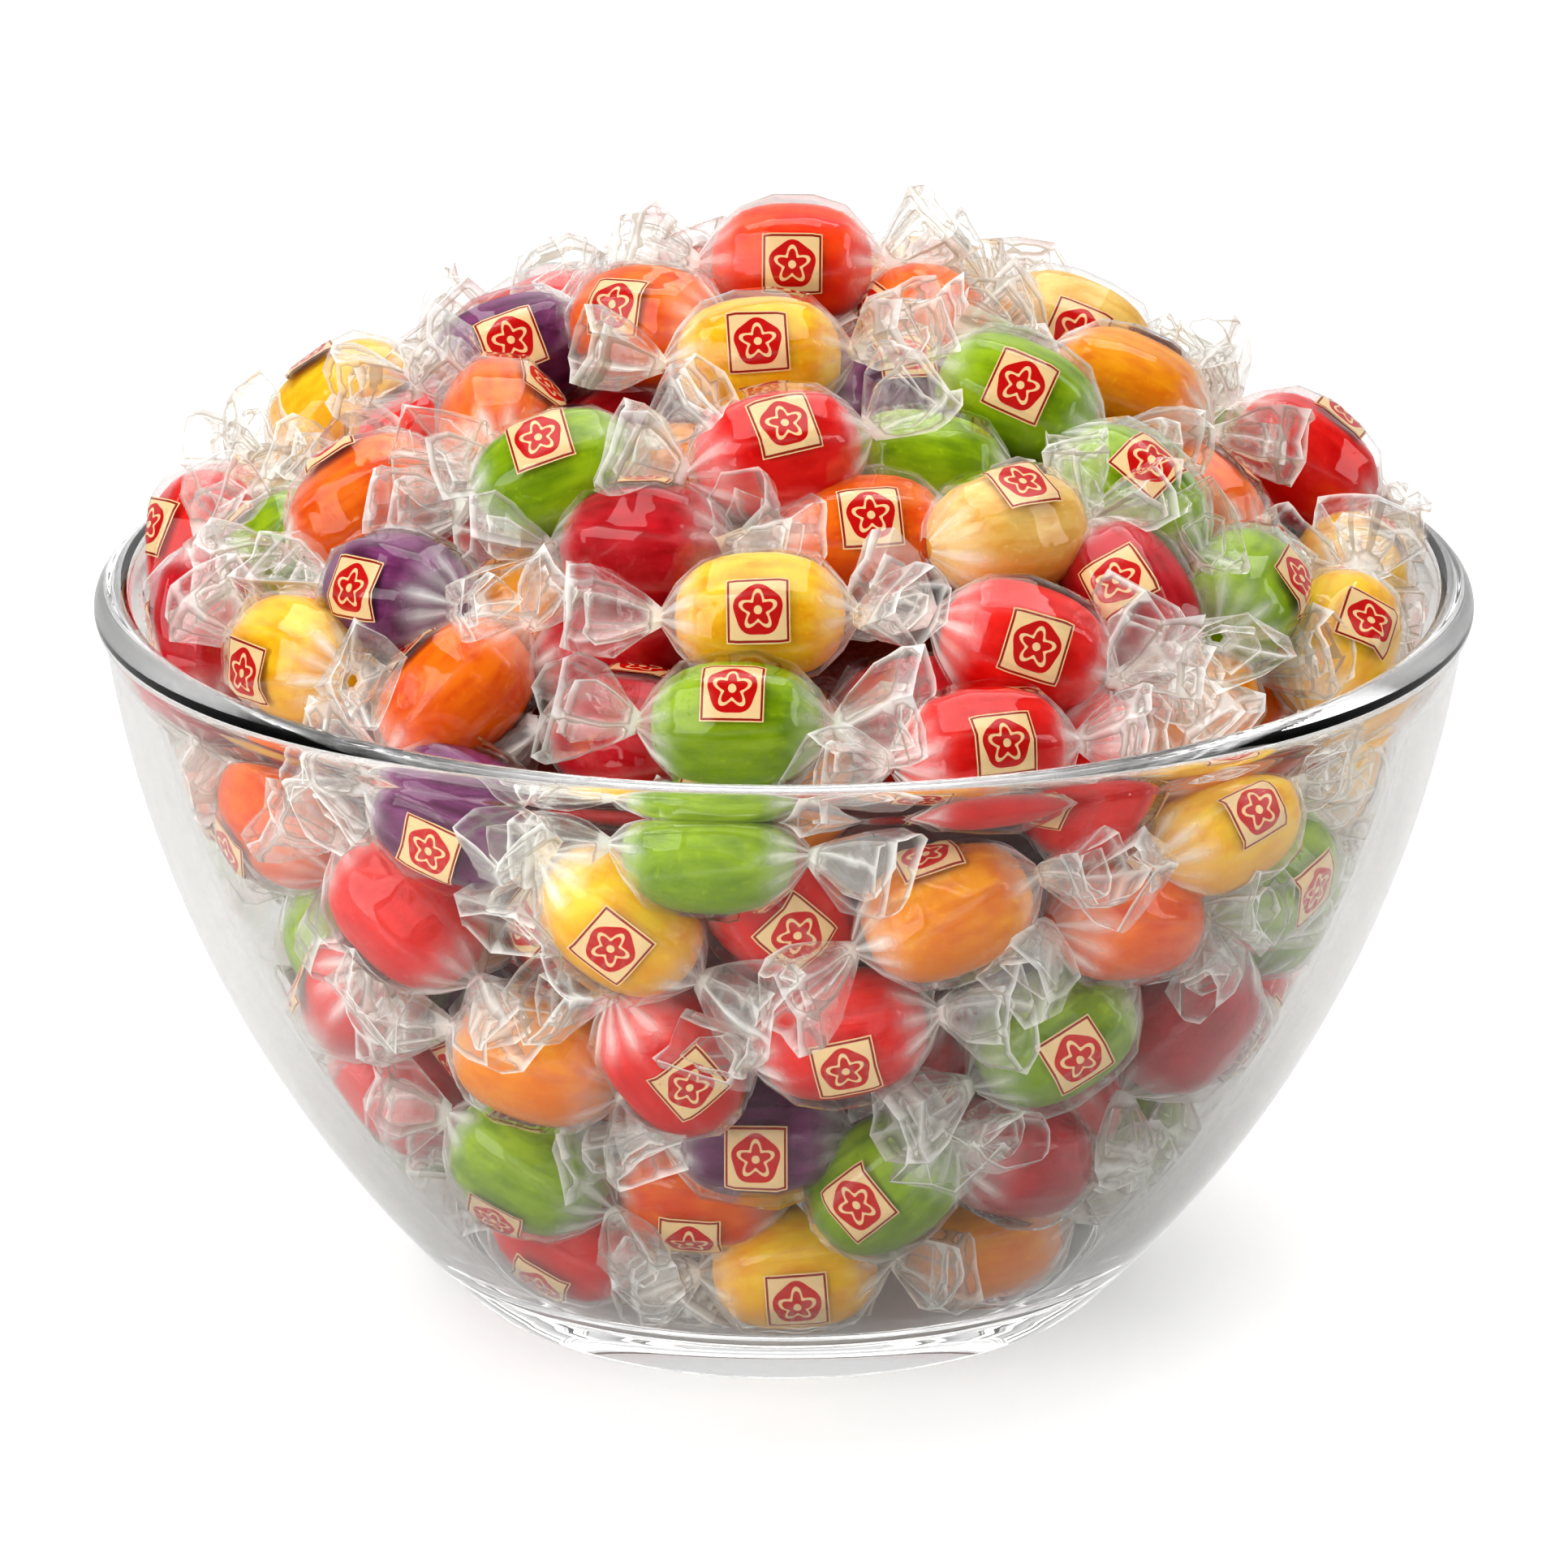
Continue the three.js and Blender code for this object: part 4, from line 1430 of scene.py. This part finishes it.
@dataclass
class CandyHeap:
    """Every wrapped candy of the heap, over a plain inside painted in dark shade."""

    heap: HeapForm
    form: CandyForm
    candies: list[Candy]
    view: Viewpoint
    facing: float = 0.6
    print_clear: float = 5.5
    film_gap: float = 0.5
    wing_near: float = 24.0
    wing_passes: int = 2
    least_level: float = 0.2
    core_depth: float = 20.0
    core_middle: float = 70.0
    core_reach: float = 150.0
    core_halvings: int = 30
    core_segments: int = 96
    core_steps: int = 40
    knob_sizes: tuple[float, float, float] = (3.1, 3.4, 3.2)
    knob_depth: float = 2.0

    def build(self) -> list[bpy.types.Object]:
        """Makes the pieces, which stand for the solid heap.

        Returns:
            The candies and wrappers of each flavour, the prints, and the inside.
        """
        film = FilmFinish().material()
        prints = Batch()
        pieces = []
        for flavour in Flavour:
            sugar, wrappers = Batch(), Batch()
            for candy in (candy for candy in self.candies if candy.flavour is flavour):
                SugarBody(self.form).add(sugar, candy, self.heap)
                body_film = BodyFilm(self.form, candy.dice)
                body_film.add(wrappers, candy, self.heap)
                PrintedSquare().add(prints, candy, body_film, self.heap)
                for side in (0, 1) if candy.winged else ():
                    FilmWing(self.form).add(wrappers, candy, side, self)
            pieces.append(sugar.piece(f"{flavour.label}_candies", SugarFinish(flavour).material()))
            pieces.append(wrappers.piece(f"{flavour.label}_wrappers", film))
        pieces.append(prints.piece("wrapper_prints", PrintFinish().material()))
        pieces.append(self.inside())
        for piece in pieces:
            film_piece = piece.name.endswith("_wrappers")
            piece.visible_shadow = not film_piece
            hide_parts("candy_heap")
            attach(piece, "root")
        return pieces

    def hides_print(self, spot: Points) -> bool:
        """Whether a wing would lie between the eye and the print of a candy that the front shows.

        Args:
            spot: The wing's middle.

        Returns:
            Whether it would.
        """
        for candy in self.candies[: len(MOUND + BEHIND_GLASS)]:
            ahead = unit(self.view.eye - candy.middle)
            if float(candy.face @ ahead) > self.facing:
                offset = spot - candy.middle - unit(candy.face) * self.form.half_width
                nearer = float(offset @ ahead)
                if nearer > 0 and np.linalg.norm(offset - ahead * nearer) < self.print_clear:
                    return True
        return False

    def kept_off_candies(self, spots: Points, own: Candy) -> Points:
        """Moves spots of a wing that would lie inside another candy out to its film.

        Args:
            spots: The spots.
            own: The wing's own candy.

        Returns:
            The spots, clear of the other candies.
        """
        form = self.form
        sizes = np.array([form.half_length, form.half_width]) + self.film_gap
        middle = spots.mean(axis=0)
        others = (candy for candy in self.candies if candy is not own)
        near = [candy for candy in others if np.linalg.norm(candy.middle - middle) < self.wing_near]
        for other in near * self.wing_passes:
            local = other.local(spots)
            reach = joined(np.abs(local[:, 0]), np.hypot(local[:, 1], local[:, 2])) / sizes
            level = (reach**form.roundness).sum(axis=-1) ** (1 / form.roundness)
            spots = other.point(local / np.clip(level, self.least_level, 1.0)[:, None])
        return spots

    def inside(self) -> bpy.types.Object:
        """Makes the heap's inside: its surface moved inwards and knobbed like the candies on it.

        Returns:
            The piece.
        """
        bearing = angles(self.core_segments)
        pitch = np.linspace(-math.pi / 2, math.pi / 2, self.core_steps)[:, None]
        middle = np.array([0.0, 0.0, self.core_middle])
        level = np.cos(pitch)
        rays = joined(level * np.cos(bearing), level * np.sin(bearing), np.sin(pitch)).reshape(-1, 3)
        near, far = np.zeros(len(rays)), np.full(len(rays), self.core_reach)
        for _ in range(self.core_halvings):
            half = (near + far) / 2
            inner = self.heap.outside(middle + rays * half[:, None]) < -self.core_depth
            near, far = np.where(inner, half, near), np.where(inner, far, half)
        spots = middle + rays * near[:, None]
        knobs = np.sin(spots / np.array(self.knob_sizes)).prod(axis=-1)
        spots = spots - rays * (self.knob_depth * (knobs + 1))[:, None]
        batch = Batch()
        batch.add(spots, tube_faces(self.core_steps, self.core_segments))
        return batch.piece("shaded_heap_inside", DeepShadeFinish().material())


@dataclass(frozen=True)
class Softbox:
    """One soft studio lamp: its place, its size and its power, in metres and watts.

    One that isn't mirrored lights the candies, but leaves no highlight on glass or film.
    """

    name: str
    place: tuple[float, float, float]
    size: Span
    power: float
    mirrored: bool = True

    def build(self, aim: Vector) -> None:
        """Makes the lamp.

        Args:
            aim: The place that it points at.
        """
        data = bpy.data.lights.new(self.name, "AREA")
        data.shape = "RECTANGLE"
        data.size, data.size_y = self.size
        data.energy = self.power
        lamp = bpy.data.objects.new(self.name, data)
        bpy.context.scene.collection.objects.link(lamp)
        lamp.visible_glossy = self.mirrored
        lamp.location = self.place
        lamp.rotation_euler = (aim - Vector(self.place)).to_track_quat("-Z", "Y").to_euler()


@dataclass
class Studio:
    """The pale floor, the soft lamps and the even white surroundings."""

    floor_size: float = 30.0
    floor_gap: float = 0.3
    before: float = 0.1
    behind: float = 0.9
    behind_from: float = 0.9
    aim: tuple[float, float, float] = (0.0, 0.0, 0.08)
    gamma: float = 0.88
    bounces: int = 48
    diffuse_bounces: int = 3
    noise_limit: float = 0.08
    fewest_rays: int = 12
    lamps: tuple[Softbox, ...] = (
        Softbox("overhead_softbox", (0.0, 0.1, 0.95), (1.0, 0.7), 6.6),
        Softbox("left_softbox", (-0.75, -0.6, 0.5), (0.85, 0.85), 7.4),
        Softbox("right_softbox", (0.95, -0.25, 0.5), (0.3, 0.6), 1.8),
        Softbox("front_fill", (0.15, -1.2, 0.55), (1.2, 0.8), 3.6, mirrored=False),
    )

    def build(self) -> None:
        """Makes the studio."""
        across, along = self.floor_size / 2 / MM * np.array([[-1, 1, 1, -1], [-1, -1, 1, 1]])
        batch = Batch()
        batch.add(joined(across, along, -self.floor_gap), np.arange(4)[None])
        floor = batch.piece("floor", FloorFinish().material())
        floor.visible_glossy = False
        for lamp in self.lamps:
            lamp.build(Vector(self.aim))
        scene = bpy.context.scene
        scene.world = self.white_room()
        scene.view_settings.view_transform = "Standard"
        scene.view_settings.gamma = self.gamma
        for kind in ("max", "transparent_max", "transmission", "glossy"):
            setattr(scene.cycles, f"{kind}_bounces", self.bounces)
        scene.cycles.diffuse_bounces = self.diffuse_bounces
        scene.cycles.use_adaptive_sampling = True
        scene.cycles.adaptive_threshold = self.noise_limit
        scene.cycles.adaptive_min_samples = self.fewest_rays

    def white_room(self) -> bpy.types.World:
        """The surroundings: white to the eye, and as a light dim in front and bright behind.

        Returns:
            The world.
        """
        recipe = Recipe(bpy.data.worlds.new("white_room"))
        direction = recipe.node("ShaderNodeTexCoord", out="Generated")
        depth = recipe.node("ShaderNodeSeparateXYZ", None, {0: direction}, out="Y")
        span = {"Value": depth, "From Max": self.behind_from, "To Min": self.before, "To Max": self.behind}
        strength = recipe.node("ShaderNodeMapRange", {"interpolation_type": "SMOOTHSTEP"}, span)
        strength = strength + recipe.ray("Camera") * (1.0 - strength)
        white = {"Color": WHITE, "Strength": strength}
        return recipe.finish(recipe.node("ShaderNodeBackground", None, white), "ShaderNodeOutputWorld")


def triangles(piece: bpy.types.Object) -> int:
    """How many triangles a piece has."""
    return sum(len(face.vertices) - 2 for face in piece.data.polygons)


def main() -> None:
    """Builds the camera, the studio, the bowl and its candies, and reports each piece."""
    logging.basicConfig(level=logging.INFO, format="%(name)s: %(message)s")
    view, heap, form = Viewpoint(), HeapForm(), CandyForm()
    view.set_camera()
    Studio().build()
    candies = HeapLayout(heap, view, form).candies()
    LOG.info("placed %d candies", len(candies))
    pieces = [GlassBowl(heap.bowl).build(), *CandyHeap(heap, form, candies, view).build()]
    for piece in pieces:
        LOG.info("%s: %d triangles", piece.name, triangles(piece))
    LOG.info("in all: %d triangles", sum(map(triangles, pieces)))


if __name__ == "__main__":
    main()
